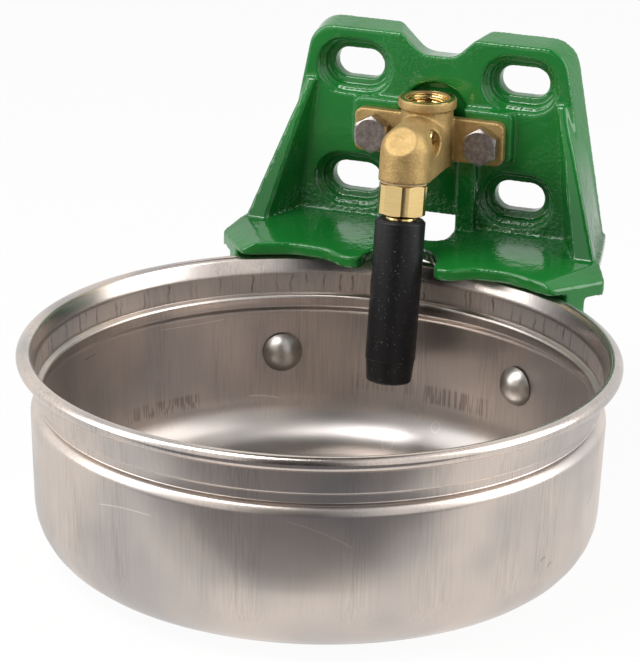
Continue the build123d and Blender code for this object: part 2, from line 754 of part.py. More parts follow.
def make_seat():
    neck_radius = chamber_radius - throttle_clearance
    shoulder = seat_low + seat_flange
    nose_radius = orifice_radius + seat_nose_wall
    seat = turned([
        (orifice_radius, seat_low),
        (seat_flange_radius, seat_low),
        (seat_flange_radius, shoulder),
        (neck_radius, shoulder),
        (neck_radius, seat_neck_top),
        (nose_radius, seat_neck_top),
        (nose_radius, seat_high),
        (orifice_radius, seat_high),
    ])
    return on_outlet(seat)


def make_plunger():
    """Pusher disc with water holes and a stem up through the seat's orifice."""
    disc = extrude(Circle(pusher_radius), amount=pusher_thickness)
    for step in range(pusher_holes):
        hole = Pos(pusher_hole_circle, 0, 0) * Circle(pusher_hole_radius)
        disc -= Rot(0, 0, step * 360 / pusher_holes) * extrude(hole, amount=pusher_thickness)
    stem = extrude(Circle(stem_radius), amount=spring_low + 0.8 - pusher_low)
    return on_outlet(Pos(0, 0, pusher_low) * (disc + stem))


def ring_on_axis(inner, outer, low, high):
    return on_outlet(Pos(0, 0, low) * extrude(Circle(outer) - Circle(inner), amount=high - low))


def make_spring():
    """Compression spring between the retainer and the chamber's roof."""
    length = chamber_top - spring_low - spring_wire - 0.1
    pitch = length / spring_turns
    path = Helix(pitch=pitch, height=length, radius=spring_radius)
    start = Plane(origin=path @ 0, z_dir=path % 0)
    coil = sweep(start * Circle(spring_wire / 2), path=path, is_frenet=True)
    return on_outlet(Pos(0, 0, spring_low + spring_wire / 2 + 0.05) * coil)


def make_tube_nut():
    """Gland nut turned from round bar with six flats, its thread up in the outlet."""
    hex_top = -gasket_thickness
    hexagon = RegularPolygon(nut_flats_width / 2, 6, major_radius=False, rotation=nut_angle + 30)
    body = extrude(hexagon & Circle(nut_turned_radius), amount=hex_top - nut_low)
    rounding_low = turned([
        (0, 0), (nut_flats_width / 2 - 0.2, 0), (nut_turned_radius + 0.2, 0.9),
        (nut_turned_radius + 0.2, hex_top - nut_low - 0.9),
        (nut_flats_width / 2 - 0.2, hex_top - nut_low), (0, hex_top - nut_low),
    ])
    body = Pos(0, 0, nut_low) * (body & rounding_low)
    body += Pos(0, 0, hex_top - 0.2) * extrude(Circle(nut_thread_radius), amount=nut_thread_top - hex_top + 0.2)
    body -= Pos(0, 0, nut_low + nut_floor) * extrude(Circle(nut_bore_radius), amount=40)
    body -= Pos(0, 0, nut_low - 1) * extrude(Circle(nut_hole_radius), amount=40)
    return on_outlet(body)


def make_pivot_ring():
    low = nut_low + nut_floor + thread_clearance
    ring = Pos(0, 0, low) * extrude(Circle(pivot_ring_radius) - Circle(pivot_ring_hole),
                                    amount=pivot_height - pivot_ring_seat - low)
    ring -= Pos(0, 0, pivot_height) * Sphere(ball_radius + ball_clearance)
    return on_outlet(ring)


def make_tube():
    """Brass tube with a ball head; its flat crown lifts the plunger when the tube is tipped."""
    ball = Pos(0, 0, pivot_height) * Sphere(ball_radius)
    ball -= Pos(0, 0, pivot_height + crown_height) * Box(40, 40, 20, align=(Align.CENTER, Align.CENTER, Align.MIN))
    neck = Pos(0, 0, tube_shoulder) * extrude(Circle(tube_neck_radius), amount=pivot_height - tube_shoulder)
    barrel = Pos(0, 0, tube_low) * extrude(Circle(tube_radius), amount=tube_shoulder - tube_low)
    tube = ball + neck + barrel
    tube -= Pos(0, 0, tube_shoulder - 3) * extrude(Circle(tube_neck_bore), amount=40)
    tube -= Pos(0, 0, tube_low - 1) * extrude(Circle(tube_bore), amount=tube_shoulder - 3 - tube_low + 1)
    return on_outlet(tube)


def make_sleeve():
    """Rubber sleeve over the tube, chamfered at its mouth and drawn in below a fine step."""
    bore = tube_radius + thread_clearance
    sleeve = turned([
        (bore, sleeve_low + sleeve_mouth_chamfer),
        (bore + sleeve_mouth_chamfer, sleeve_low),
        (sleeve_nose_radius - 1, sleeve_low),
        (sleeve_nose_radius, sleeve_low + 1),
        (sleeve_radius - sleeve_step_depth, sleeve_step),
        (sleeve_radius, sleeve_step),
        (sleeve_radius, sleeve_top - sleeve_chamfer),
        (sleeve_radius - sleeve_chamfer, sleeve_top),
        (bore, sleeve_top),
    ])
    return on_outlet(sleeve)


def pair(make):
    """The left and the right copy of a fastener, kept as two solids."""
    return Compound(children=[make(-1), make(1)])


write("bowl", make_bowl())
write("wall_bracket", make_bracket())
write("bowl_bolts", pair(bowl_bolt))
write("bowl_bolt_seals", pair(bowl_bolt_seal))
write("bowl_seat_pads", pair(bowl_seat_pad))
write("bowl_bolt_washers", pair(bowl_bolt_washer))
write("bowl_bolt_nuts", pair(bowl_bolt_nut))
write("valve_body", make_valve_body())
write("valve_mounting_bolts", pair(hex_bolt))
write("inlet_strainer", make_strainer())
throttle_screw, throttle_o_ring = make_throttle()
write("throttle_screw", throttle_screw)
write("throttle_o_ring", throttle_o_ring)
write("valve_seat", make_seat())
write("valve_plunger", make_plunger())
write("plunger_seal", ring_on_axis(stem_radius + thread_clearance, plunger_seal_radius, seal_low, retainer_low))
write("seal_retainer", ring_on_axis(stem_radius + thread_clearance, retainer_radius, retainer_low, spring_low))
write("valve_spring", make_spring())
write("nut_gasket", ring_on_axis(nut_thread_radius + thread_clearance, gasket_radius, -gasket_thickness, 0))
write("tube_nut", make_tube_nut())
write("pivot_ring", make_pivot_ring())
write("valve_tube", make_tube())
write("tube_sleeve", make_sleeve())
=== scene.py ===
import json
from math import asin, cos, pi, radians, sin, tan

import bmesh
import bpy
from mathutils import Euler, Matrix, Vector, noise


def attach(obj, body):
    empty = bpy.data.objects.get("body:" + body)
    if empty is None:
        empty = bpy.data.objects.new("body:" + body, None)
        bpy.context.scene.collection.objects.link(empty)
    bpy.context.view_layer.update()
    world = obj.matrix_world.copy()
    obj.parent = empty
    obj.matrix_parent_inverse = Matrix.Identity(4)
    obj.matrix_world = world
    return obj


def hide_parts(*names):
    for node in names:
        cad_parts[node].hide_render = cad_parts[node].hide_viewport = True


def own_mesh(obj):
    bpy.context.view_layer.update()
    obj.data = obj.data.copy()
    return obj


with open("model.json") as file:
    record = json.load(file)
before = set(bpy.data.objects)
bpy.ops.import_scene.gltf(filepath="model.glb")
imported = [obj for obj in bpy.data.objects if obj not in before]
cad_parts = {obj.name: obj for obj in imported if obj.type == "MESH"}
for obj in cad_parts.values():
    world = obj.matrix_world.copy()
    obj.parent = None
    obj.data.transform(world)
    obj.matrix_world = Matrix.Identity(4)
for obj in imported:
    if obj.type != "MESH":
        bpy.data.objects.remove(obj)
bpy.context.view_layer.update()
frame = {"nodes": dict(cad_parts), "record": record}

# Livestock drinking bowl, dressed over its CAD model. Shapes are worked out in millimetres and placed in
# metres, +Z up, +Y towards the wall; the animal drinks from -Y.
MM = 0.001
nodes = frame["nodes"]
slots = {row["node"]: row["material_slot"] for row in frame["record"]["subparts"]}

# Bowl, one deep-drawn sheet
sheet = 1.5
rim_radius = 140.0
roll_radius = 3.5
roll_turn = 290.0
roll_lean = 20.0              # degrees the lip leans out where it meets the roll
roll_z = 96.6
foot_corner = 28.7
wall_radius_low = 131.9
wall_radius_high = 133.4
shoulder_z = 73.3
shoulder_bend = 5.0
groove_low_z = 75.0
groove_high_z = 80.2
groove_radius = 129.1
groove_bends = (1.4, 1.3, 1.0)
band_radius_low = 131.9
band_radius_high = 132.7
band_foot = 0.7               # height of the step from groove to band
band_z = 92.0
lip_bend = 10.0

# How far the thin sheet waves in and out, less at its middle and in the stiff band
out_of_round = 0.12
still_radius = 60.0
stiff_above_z = 84.0
stiff_share = 0.3
waves_around = 3.1
wave_rise = 45.0

# Wall bracket: where its plate and shelf meet
shelf_corner_y = 160.0
shelf_corner_z = 114.0

# Bolts that carry the bowl
bowl_bolt_angle = 28.0
bowl_bolt_z = 49.4
dome_radius = 10.0
dome_height = 6.0
neck_side = 8.0
bolt_thread_radius = 4.0
bolt_thread_pitch = 1.25
bolt_thread_cut = 0.6
head_face = 130.13            # distance of the domed head's flat side from the bowl's axis
nut_seat = 151.9              # distance of the nut's seat from the bowl's axis
nut_flats = 13.0
nut_height = 6.5
bolt_end = 160.9

# Valve
flange_y = 152.0
valve_bolt_x = 28.3
valve_bolt_z = 159.2
valve_bolt_flats = 17.0
valve_bolt_head = 6.4
valve_bolt_length = 20.0
valve_thread_radius = 5.0
valve_thread_pitch = 1.5
valve_thread_cut = 0.75
inlet_y = 149.4
inlet_top_z = 181.2
collar_radius = 14.5
collar_height = 4.8
collar_foot_z = inlet_top_z - collar_height
inlet_bore_radius = 10.7
inlet_thread_radius = 10.48
inlet_thread_pitch = 1.814
inlet_thread_cut = 1.1
inlet_thread_depth = 13.5

# Outlet axis, tilted forward at its lower end; heights along it count from the outlet's face
outlet_tilt = 8.0
outlet_y = 115.3
outlet_z = 147.4
nut_flats_width = 22.7
nut_turned_radius = 12.2
nut_top = -0.8
nut_low = -16.3
nut_angle = -5.4
nut_cone = radians(30)
nut_spigot_radius = 10.4
nut_spigot_top = 3.2
nut_bore_radius = 9.0
nut_lip_radius = 7.9
nut_lip_height = 2.8
tube_ball_radius = 8.4
tube_ball_height = -7.0
tube_ball_top = -3.0
tube_ball_flat = 7.3
tube_neck_radius = 6.5
tube_neck_top = -12.2
tube_neck_bore = 4.5
tube_radius = 7.65
tube_bore = 6.2
tube_shoulder = -17.4
tube_low = -97.0
sleeve_bore = tube_radius + 0.02
sleeve_radius = 12.4
sleeve_top = -18.5
sleeve_middle = -60.0
sleeve_low = -100.4
sleeve_step = -88.5
sleeve_nose_radius = 11.1


# Nodes and colours
def srgb(code):
    """Linear colour from an sRGB hex code."""
    parts = [int(code[i:i + 2], 16) / 255 for i in (1, 3, 5)]
    return tuple(p / 12.92 if p <= 0.04045 else ((p + 0.055) / 1.055) ** 2.4 for p in parts) + (1.0,)


def add(tree, kind, inputs=None, **settings):
    """Adds one node. Settings are its own options; inputs are values, sockets or nodes, by socket.

    Sockets by number: Math has its terms in 0 to 2. MapRange has the value in 0, the range it comes from in
    1 and 2, and the one it goes to in 3 and 4. Mix has its share in 0, its numbers in 2 and 3, and its
    colours in 6 and 7.
    """
    made = tree.nodes.new("ShaderNode" + kind)
    for name, value in settings.items():
        setattr(made, name, value)
    for socket, value in (inputs or {}).items():
        if isinstance(value, bpy.types.Node):
            value = next(out for out in value.outputs if out.enabled)
        if isinstance(value, bpy.types.NodeSocket):
            tree.links.new(value, made.inputs[socket])
        else:
            made.inputs[socket].default_value = value
    return made


def start_material(name):
    """An empty material and its tree."""
    material = bpy.data.materials.new(name)
    material.use_nodes = True
    material.node_tree.nodes.clear()
    return material, material.node_tree


def finish_material(tree, inputs):
    """Ends a material in its Principled shader."""
    add(tree, "OutputMaterial", {"Surface": add(tree, "BsdfPrincipled", inputs)})


def grains(width):
    """Scale of a noise laid out in metres, for grains that many millimetres wide."""
    return 1000 / width


def between(tree, value, low, high, soft):
    """1 where a value lies between two limits, fading out over a soft edge."""
    up = add(tree, "MapRange", {0: value, 1: low - soft, 2: low + soft}, interpolation_type="SMOOTHSTEP")
    down = add(tree, "MapRange", {0: value, 1: high - soft, 2: high + soft, 3: 1.0, 4: 0.0},
               interpolation_type="SMOOTHSTEP")
    return add(tree, "Math", {0: up, 1: down}, operation="MULTIPLY")


def scratch(tree, wall, start, end, sag, width):
    """How much a point of the wall lies on a scratch: a shallow arc between two points, in millimetres."""
    run = Vector(end) - Vector(start)
    along, across = run / run.length_squared, Vector((-run.y, run.x)) / run.length
    away = add(tree, "VectorMath", {0: wall, 1: (*start, 0.0)}, operation="SUBTRACT")
    share = add(tree, "VectorMath", {0: away, 1: (*along, 0.0)}, operation="DOT_PRODUCT")
    offset = add(tree, "VectorMath", {0: away, 1: (*across, 0.0)}, operation="DOT_PRODUCT")
    rest = add(tree, "Math", {0: 1.0, 1: share}, operation="SUBTRACT")
    arch = add(tree, "Math", {0: share, 1: rest}, operation="MULTIPLY")
    bent = add(tree, "Math", {0: arch, 1: 4 * sag, 2: offset}, operation="MULTIPLY_ADD")
    distance = add(tree, "Math", {0: bent}, operation="ABSOLUTE")
    near = add(tree, "MapRange", {0: distance, 1: 0.0, 2: width, 3: 1.0, 4: 0.0},
               interpolation_type="SMOOTHSTEP")
    ends = add(tree, "MapRange", {0: arch, 1: 0.0, 2: 0.06}, interpolation_type="SMOOTHSTEP")
    return add(tree, "Math", {0: near, 1: ends}, operation="MULTIPLY")


# Marks on the bowl's wall, in millimetres along the wall, 0 at the back, and millimetres up
wall_mid_radius = 132.0
wrinkles_low, wrinkles_high = 82.5, 91.0
dark_line_low, dark_line_high = 91.2, 91.7
orange_line_low, orange_line_high, orange_line_radius = 93.9, 94.3, 137.2
# Heights between which shade is painted inside the bowl
inside_shade_low, inside_shade_high = -5.0, 77.0
bowl_mid_z = 60.0

# Left, right, low, high, depth of tone
rubbed_fields = ((-153, -109, 24, 31, 0.4), (10, 46, 28, 37, 0.45), (-28, 3, 31, 39, 0.2))
# Centre, radius
dried_drops = (((-6, 8), 3.2), ((18, 17), 2.4))
# Start, end, sag, half-width, strength, bare
scratches = (
    ((-131, 68.4), (-94, 68.7), 0.8, 0.35, 0.6, True), ((-184, 66.2), (-174, 66.6), 0.2, 0.4, 0.6, False),
    ((-354, 57.5), (-386, 60.8), 1.2, 0.4, 0.7, True), ((383, 68.5), (353, 56.2), 1.6, 0.4, 0.7, True),
    ((214, 45), (208, 48), 0.2, 0.4, 0.6, False), ((-82, 27), (-66, 25), -0.6, 0.5, 0.6, True),
    ((250, 27), (247, 29), 0.8, 0.9, 0.4, False), ((256, 32), (252, 33), 0.5, 0.9, 0.4, False),
)


# Materials
def enamel_on_cast_iron():
    """Glossy green enamel, poured thick over a sand casting: deep gloss, softly uneven skin."""
    material, tree = start_material("green_enamel_on_cast_iron")
    place = add(tree, "TexCoord").outputs["Object"]
    cloud = add(tree, "TexNoise", {"Vector": place, "Scale": grains(26.32), "Detail": 3.0})
    tone = add(tree, "Mix", {0: cloud, 6: srgb("#166a28"), 7: srgb("#217f34")}, data_type="RGBA")
    # Painted shade: darker in the corner where plate and shelf meet
    across = add(tree, "VectorMath", {0: place, 1: (0.0, 1.0, 1.0)}, operation="MULTIPLY")
    corner_line = (0.0, shelf_corner_y * MM, shelf_corner_z * MM)
    reach = add(tree, "VectorMath", {0: across, 1: corner_line}, operation="DISTANCE").outputs["Value"]
    corner_painted_shade = add(tree, "MapRange", {0: reach, 1: 8 * MM, 2: 50 * MM, 3: 0.6, 4: 0.0},
                 interpolation_type="SMOOTHSTEP")
    tone = add(tree, "Mix", {0: corner_painted_shade, 6: tone, 7: srgb("#0b4a1c")}, data_type="RGBA")
    # Moulding sand shows through where the enamel ran thin, in patches 31 mm wide. Its grains are 0.3 mm;
    # they are drawn 2 mm wide so that they show
    sand = add(tree, "TexNoise", {"Vector": place, "Scale": grains(2.0833), "Detail": 2.0})
    thin = add(tree, "TexNoise", {"Vector": place, "Scale": grains(31.25), "Detail": 1.0})
    share = add(tree, "MapRange", {0: thin, 1: 0.47, 2: 0.62, 3: 0.15, 4: 1.0},
                interpolation_type="SMOOTHSTEP")
    # That corner also came out of the mould rougher
    rough = add(tree, "MapRange", {0: reach, 1: 5 * MM, 2: 18 * MM, 3: 2.4, 4: 0.0},
                interpolation_type="SMOOTHSTEP")
    share = add(tree, "Math", {0: share, 1: rough}, operation="MAXIMUM")
    grain = add(tree, "Math", {0: sand, 1: share}, operation="MULTIPLY")
    # The skin itself runs in waves 9 mm wide
    wave = add(tree, "TexNoise", {"Vector": place, "Scale": grains(9.091), "Detail": 1.0})
    height = add(tree, "Math", {0: wave, 1: 0.5, 2: grain}, operation="MULTIPLY_ADD")
    skin = add(tree, "Bump", {"Height": height, "Strength": 0.5, "Distance": 0.7 * MM})
    finish_material(tree, {"Base Color": tone, "Roughness": 0.08, "IOR": 1.52, "Normal": skin})
    return material


def drawn_stainless():
    """Stainless sheet, deep drawn and left so: warm grey, fine upright draw lines, rubbed and scratched."""
    material, tree = start_material("drawn_stainless_sheet")
    place = add(tree, "TexCoord").outputs["Object"]
    point = add(tree, "VectorMath", {0: place, "Scale": 1 / MM}, operation="SCALE")        # in millimetres
    axes = add(tree, "SeparateXYZ", {0: point})
    turn = add(tree, "Math", {0: axes.outputs["X"], 1: axes.outputs["Y"]}, operation="ARCTAN2")
    around = add(tree, "Math", {0: turn, 1: wall_mid_radius}, operation="MULTIPLY")
    level = axes.outputs["Z"]
    wall = add(tree, "CombineXYZ", {0: around, 1: level})
    flat = add(tree, "CombineXYZ", {0: axes.outputs["X"], 1: axes.outputs["Y"]})
    radius = add(tree, "VectorMath", {0: flat}, operation="LENGTH").outputs["Value"]
    inside_wall = add(tree, "Math", {0: radius, 1: wall_radius_low - sheet / 2}, operation="LESS_THAN")

    # Draw lines are 0.1 mm apart and are drawn 0.77 mm apart so that they show. They come in clusters 17 mm
    # wide and fade towards the foot
    upright = add(tree, "Mapping", {"Vector": point, "Scale": (1.0, 1.0, 0.012)})
    lines = add(tree, "TexNoise", {"Vector": upright, "Scale": 1 / 0.7692, "Detail": 2.0, "Roughness": 0.6})
    clusters = add(tree, "TexNoise", {"Vector": upright, "Scale": 1 / 16.67, "Detail": 2.0})
    sharp_lines = add(tree, "MapRange", {0: lines, 1: 0.42, 2: 0.62})
    grown = add(tree, "MapRange", {0: clusters, 1: 0.4, 2: 0.65, 3: 0.08, 4: 0.36})
    line_depth = add(tree, "Math", {0: sharp_lines, 1: grown}, operation="MULTIPLY")
    above_foot = add(tree, "MapRange", {0: level, 1: 8.0, 2: 34.0, 3: 0.15, 4: 1.0},
                     interpolation_type="SMOOTHSTEP")
    line_depth = add(tree, "Math", {0: line_depth, 1: above_foot}, operation="MULTIPLY")

    # Rubbed areas some 60 mm wide are brighter and warmer
    rubbing = add(tree, "TexNoise", {"Vector": point, "Scale": 1 / 58.82, "Detail": 2.0})
    worn = add(tree, "MapRange", {0: rubbing, 1: 0.35, 2: 0.65}, interpolation_type="SMOOTHSTEP")
    tone = add(tree, "Mix", {0: worn, 6: srgb("#b7b0ac"), 7: srgb("#d5c8be")}, data_type="RGBA")
    tone = add(tree, "Mix", {0: line_depth, 6: tone, 7: srgb("#8f8a86")}, data_type="RGBA")

    # Painted shade: inside faces, from below the floor to under the groove, are made a shade darker than the
    # outside. Inside faces look to the bowl's middle
    from_middle = add(tree, "VectorMath", {0: point, 1: (0.0, 0.0, bowl_mid_z)}, operation="SUBTRACT")
    outward = add(tree, "VectorMath", {0: add(tree, "NewGeometry").outputs["Normal"], 1: from_middle},
                  operation="DOT_PRODUCT").outputs["Value"]
    inner_face = add(tree, "Math", {0: outward, 1: 0.0}, operation="LESS_THAN")
    inside_shade_zone = add(tree, "Math", {0: inner_face, 1: between(tree, level, inside_shade_low, inside_shade_high, 1.0)},
                 operation="MULTIPLY")
    tone = add(tree, "Mix", {0: inside_shade_zone, 6: tone, 7: srgb("#f1f3f5")}, data_type="RGBA", blend_type="MULTIPLY")

    # Painted shade in the wrinkles that the blank holder left inside the band, about 9 mm apart, which have
    # no shape of their own, and a thin dark line over them
    wander = add(tree, "TexNoise", {"Vector": wall, "Scale": 1 / 8.333, "Detail": 2.0})
    swayed = add(tree, "Math", {0: wander, 1: 5.0, 2: around}, operation="MULTIPLY_ADD")
    wrinkles = add(tree, "TexVoronoi", {"W": swayed, "Scale": 1 / 9.091, "Randomness": 0.9},
                   voronoi_dimensions="1D").outputs["Distance"]
    crease = add(tree, "MapRange", {0: wrinkles, 1: 0.02, 2: 0.09, 3: 1.0, 4: 0.0},
                 interpolation_type="SMOOTHSTEP")
    patchy = add(tree, "TexNoise", {"Vector": wall, "Scale": 1 / 14.286, "Detail": 2.0})
    some = add(tree, "MapRange", {0: patchy, 1: 0.38, 2: 0.6})
    crease = add(tree, "Math", {0: crease, 1: some}, operation="MULTIPLY")
    band = between(tree, level, wrinkles_low, wrinkles_high, 1.2)
    band = add(tree, "Math", {0: band, 1: inside_wall}, operation="MULTIPLY")
    crease = add(tree, "Math", {0: crease, 1: band}, operation="MULTIPLY")
    thin_dark_line = between(tree, level, dark_line_low, dark_line_high, 0.25)
    thin_dark_line = add(tree, "Math", {0: thin_dark_line, 1: inside_wall}, operation="MULTIPLY")
    crease = add(tree, "Math", {0: crease, 1: thin_dark_line}, operation="MAXIMUM")
    # The wrinkles' painted shade and the thin dark line
    wrinkle_shade_and_line = add(tree, "Math", {0: crease, 1: 0.6}, operation="MULTIPLY")
    tone = add(tree, "Mix", {0: wrinkle_shade_and_line, 6: tone, 7: srgb("#4a4440")}, data_type="RGBA")

    # Rubbings low inside, in fields of short upright strokes
    strokes = add(tree, "TexNoise", {"Vector": upright, "Scale": 1 / 0.7692, "Detail": 1.0})
    struck = add(tree, "MapRange", {0: strokes, 1: 0.47, 2: 0.53})
    struck = add(tree, "Math", {0: struck, 1: inside_wall}, operation="MULTIPLY")
    for left, right, low, high, depth in rubbed_fields:
        field = add(tree, "Math", {0: between(tree, around, left, right, 2.0),
                                   1: between(tree, level, low, high, 1.0)}, operation="MULTIPLY")
        field = add(tree, "Math", {0: field, 1: depth}, operation="MULTIPLY")
        rubbed = add(tree, "Math", {0: field, 1: struck}, operation="MULTIPLY")
        tone = add(tree, "Mix", {0: rubbed, 6: tone, 7: srgb("#5a4c40")}, data_type="RGBA")

    # Drops that dried on the inside
    for centre, drop_radius in dried_drops:
        reach = add(tree, "VectorMath", {0: wall, 1: (*centre, 0.0)}, operation="DISTANCE").outputs["Value"]
        ring = between(tree, reach, drop_radius - 0.3, drop_radius + 0.3, 0.25)
        ring = add(tree, "Math", {0: ring, 1: inside_shade_zone}, operation="MULTIPLY")
        ring = add(tree, "Math", {0: ring, 1: 0.18}, operation="MULTIPLY")
        tone = add(tree, "Mix", {0: ring, 6: tone, 7: srgb("#efe9e2")}, data_type="RGBA")

    # Scratches from handling, fresh ones bare and old ones dirty
    for start, end, sag, width, strength, bare in scratches:
        mask = scratch(tree, wall, start, end, sag, width)
        mask = add(tree, "Math", {0: mask, 1: strength}, operation="MULTIPLY")
        metal = srgb("#eae4dd" if bare else "#4c443e")
        tone = add(tree, "Mix", {0: mask, 6: tone, 7: metal}, data_type="RGBA")

    # An orange-brown line, thin, under the roll
    beyond = add(tree, "Math", {0: radius, 1: orange_line_radius}, operation="GREATER_THAN")
    orange_line_mask = between(tree, level, orange_line_low, orange_line_high, 0.15)
    orange_line_mask = add(tree, "Math", {0: orange_line_mask, 1: beyond}, operation="MULTIPLY")
    orange_line_mask = add(tree, "Math", {0: orange_line_mask, 1: 0.55}, operation="MULTIPLY")
    tone = add(tree, "Mix", {0: orange_line_mask, 6: tone, 7: srgb("#9a5f3c")}, data_type="RGBA")

    # Inside was never rubbed down and is duller, most so in the wrinkled band; the roller burnished lip and
    # roll
    cloud = add(tree, "TexNoise", {"Vector": point, "Scale": 1 / 20, "Detail": 2.0})
    dull = add(tree, "MapRange", {0: cloud, 1: 0.35, 2: 0.7, 3: 0.28, 4: 0.33})
    dull = add(tree, "Math", {0: inside_shade_zone, 1: 0.06, 2: dull}, operation="MULTIPLY_ADD")
    dull = add(tree, "Math", {0: band, 1: 0.2, 2: dull}, operation="MULTIPLY_ADD")
    rolled = add(tree, "MapRange", {0: level, 1: band_z - 0.5, 2: band_z + 2.0},
                 interpolation_type="SMOOTHSTEP")
    gloss = add(tree, "Mix", {0: rolled, 2: dull, 3: 0.21}, data_type="FLOAT")

    # The draw lines can just be felt; the sheet sways a little over 29 mm, as thin sheet does
    ribs = add(tree, "Bump", {"Height": lines, "Strength": 0.25, "Distance": 0.05 * MM})
    sway = add(tree, "TexNoise", {"Vector": point, "Scale": 1 / 28.57, "Detail": 0.0})
    dents = add(tree, "Bump", {"Height": sway, "Strength": 0.12, "Distance": 1 * MM, "Normal": ribs})
    sideways = add(tree, "Tangent", direction_type="RADIAL", axis="Z")
    finish_material(tree, {"Base Color": tone, "Metallic": 1.0, "Roughness": gloss, "Anisotropic": 0.65,
                           "Normal": dents, "Tangent": sideways})
    return material


def sand_cast_brass():
    """Brass cast in sand and left raw: matt golden tan, grainy, stained in spots 5 mm wide."""
    material, tree = start_material("sand_cast_brass")
    place = add(tree, "TexCoord").outputs["Object"]
    stain = add(tree, "TexNoise", {"Vector": place, "Scale": grains(4.762), "Detail": 4.0, "Roughness": 0.65})
    tone = add(tree, "Mix", {0: stain, 6: srgb("#917649"), 7: srgb("#cfb37e")}, data_type="RGBA")
    # Grains of fine moulding sand are 0.3 mm; drawn 1.3 mm wide so that they show
    grain = add(tree, "TexNoise", {"Vector": place, "Scale": grains(1.3333), "Detail": 3.0})
    skin = add(tree, "Bump", {"Height": grain, "Strength": 0.8, "Distance": 0.3 * MM})
    finish_material(tree, {"Base Color": tone, "Metallic": 1.0, "Roughness": 0.62, "Normal": skin})
    return material


def turned_brass():
    """Brass turned and milled from bar: bright gold with fine tool rings."""
    material, tree = start_material("turned_brass")
    place = add(tree, "TexCoord").outputs["Object"]
    # Tool rings are 0.1 mm apart; drawn 0.4 mm apart so that they show
    round_part = add(tree, "Mapping", {"Vector": place, "Scale": (0.05, 0.05, 1.0)})
    rings = add(tree, "TexNoise", {"Vector": round_part, "Scale": grains(0.4), "Detail": 2.0})
    tone = add(tree, "Mix", {0: rings, 6: srgb("#d2b274"), 7: srgb("#e8cf96")}, data_type="RGBA")
    cut = add(tree, "Bump", {"Height": rings, "Strength": 0.15, "Distance": 0.04 * MM})
    finish_material(tree, {"Base Color": tone, "Metallic": 1.0, "Roughness": 0.22, "Normal": cut})
    return material


def zinc_plated_steel():
    """Steel, cold forged and zinc plated: grey with a silver cast, mottled in spots 3 mm wide."""
    material, tree = start_material("zinc_plated_steel")
    place = add(tree, "TexCoord").outputs["Object"]
    cloud = add(tree, "TexNoise", {"Vector": place, "Scale": grains(3.03), "Detail": 5.0, "Roughness": 0.65})
    mottled = add(tree, "MapRange", {0: cloud, 1: 0.32, 2: 0.7})
    tone = add(tree, "Mix", {0: mottled, 6: srgb("#766d68"), 7: srgb("#b4aeaa")}, data_type="RGBA")
    skin = add(tree, "Bump", {"Height": cloud, "Strength": 0.6, "Distance": 0.2 * MM})
    finish_material(tree, {"Base Color": tone, "Metallic": 1.0, "Roughness": 0.28, "Normal": skin})
    return material


def tumbled_stainless():
    """Stainless bolt stock, cold headed and tumbled: satin with small marks 2 mm wide."""
    material, tree = start_material("tumbled_stainless")
    place = add(tree, "TexCoord").outputs["Object"]
    marks = add(tree, "TexNoise", {"Vector": place, "Scale": grains(2.0), "Detail": 3.0})
    tone = add(tree, "Mix", {0: marks, 6: srgb("#a39e97"), 7: srgb("#bfbab3")}, data_type="RGBA")
    skin = add(tree, "Bump", {"Height": marks, "Strength": 0.2, "Distance": 0.06 * MM})
    finish_material(tree, {"Base Color": tone, "Metallic": 1.0, "Roughness": 0.36, "Normal": skin})
    return material


def moulded_rubber():
    """Black rubber, moulded: nearly black, dull, a soft wide sheen, clouded over 11 mm, a little dusty."""
    material, tree = start_material("moulded_black_rubber")
    place = add(tree, "TexCoord").outputs["Object"]
    cloud = add(tree, "TexNoise", {"Vector": place, "Scale": grains(11.11), "Detail": 4.0})
    tone = add(tree, "Mix", {0: cloud, 6: srgb("#0c0c0e"), 7: srgb("#161618")}, data_type="RGBA")
    # Only the tops of the dust's noise settle, so its specks are about half as wide as its grains
    dust = add(tree, "TexNoise", {"Vector": place, "Scale": grains(0.9091), "Detail": 1.0})
    settled = add(tree, "MapRange", {0: dust, 1: 0.7, 2: 0.76, 3: 0.0, 4: 0.5})
    tone = add(tree, "Mix", {0: settled, 6: tone, 7: srgb("#8c8a86")}, data_type="RGBA")
    skin = add(tree, "Bump", {"Height": cloud, "Strength": 0.1, "Distance": 0.2 * MM})
    finish_material(tree, {"Base Color": tone, "Roughness": 0.4, "IOR": 1.35, "Normal": skin})
    return material


def moulded_acetal():
    """Acetal, injection moulded: milky white and smooth, clouded over 5 mm."""
    material, tree = start_material("moulded_acetal")
    place = add(tree, "TexCoord").outputs["Object"]
    cloud = add(tree, "TexNoise", {"Vector": place, "Scale": grains(5.0), "Detail": 2.0})
    tone = add(tree, "Mix", {0: cloud, 6: srgb("#dcdad2"), 7: srgb("#efeee8")}, data_type="RGBA")
    finish_material(tree, {"Base Color": tone, "Roughness": 0.35, "IOR": 1.48})
    return material


def pressed_fibre():
    """Vulcanised fibre, cut from sheet: tan, matt, in short fibres 0.7 mm wide."""
    material, tree = start_material("pressed_fibre")
    place = add(tree, "TexCoord").outputs["Object"]
    fibres = add(tree, "TexNoise", {"Vector": place, "Scale": grains(0.6667), "Detail": 2.0})
    tone = add(tree, "Mix", {0: fibres, 6: srgb("#b39a72"), 7: srgb("#d8c8a4")}, data_type="RGBA")
    finish_material(tree, {"Base Color": tone, "Roughness": 0.7, "IOR": 1.5})
    return material


finishes = {
    "green_enamel": enamel_on_cast_iron(),
    "stainless_bowl": drawn_stainless(),
    "cast_brass": sand_cast_brass(),
    "turned_brass": turned_brass(),
    "zinc_bolt": zinc_plated_steel(),
    "stainless_fastener": tumbled_stainless(),
    "black_rubber": moulded_rubber(),
    "acetal": moulded_acetal(),
    "fibre_gasket": pressed_fibre(),
}


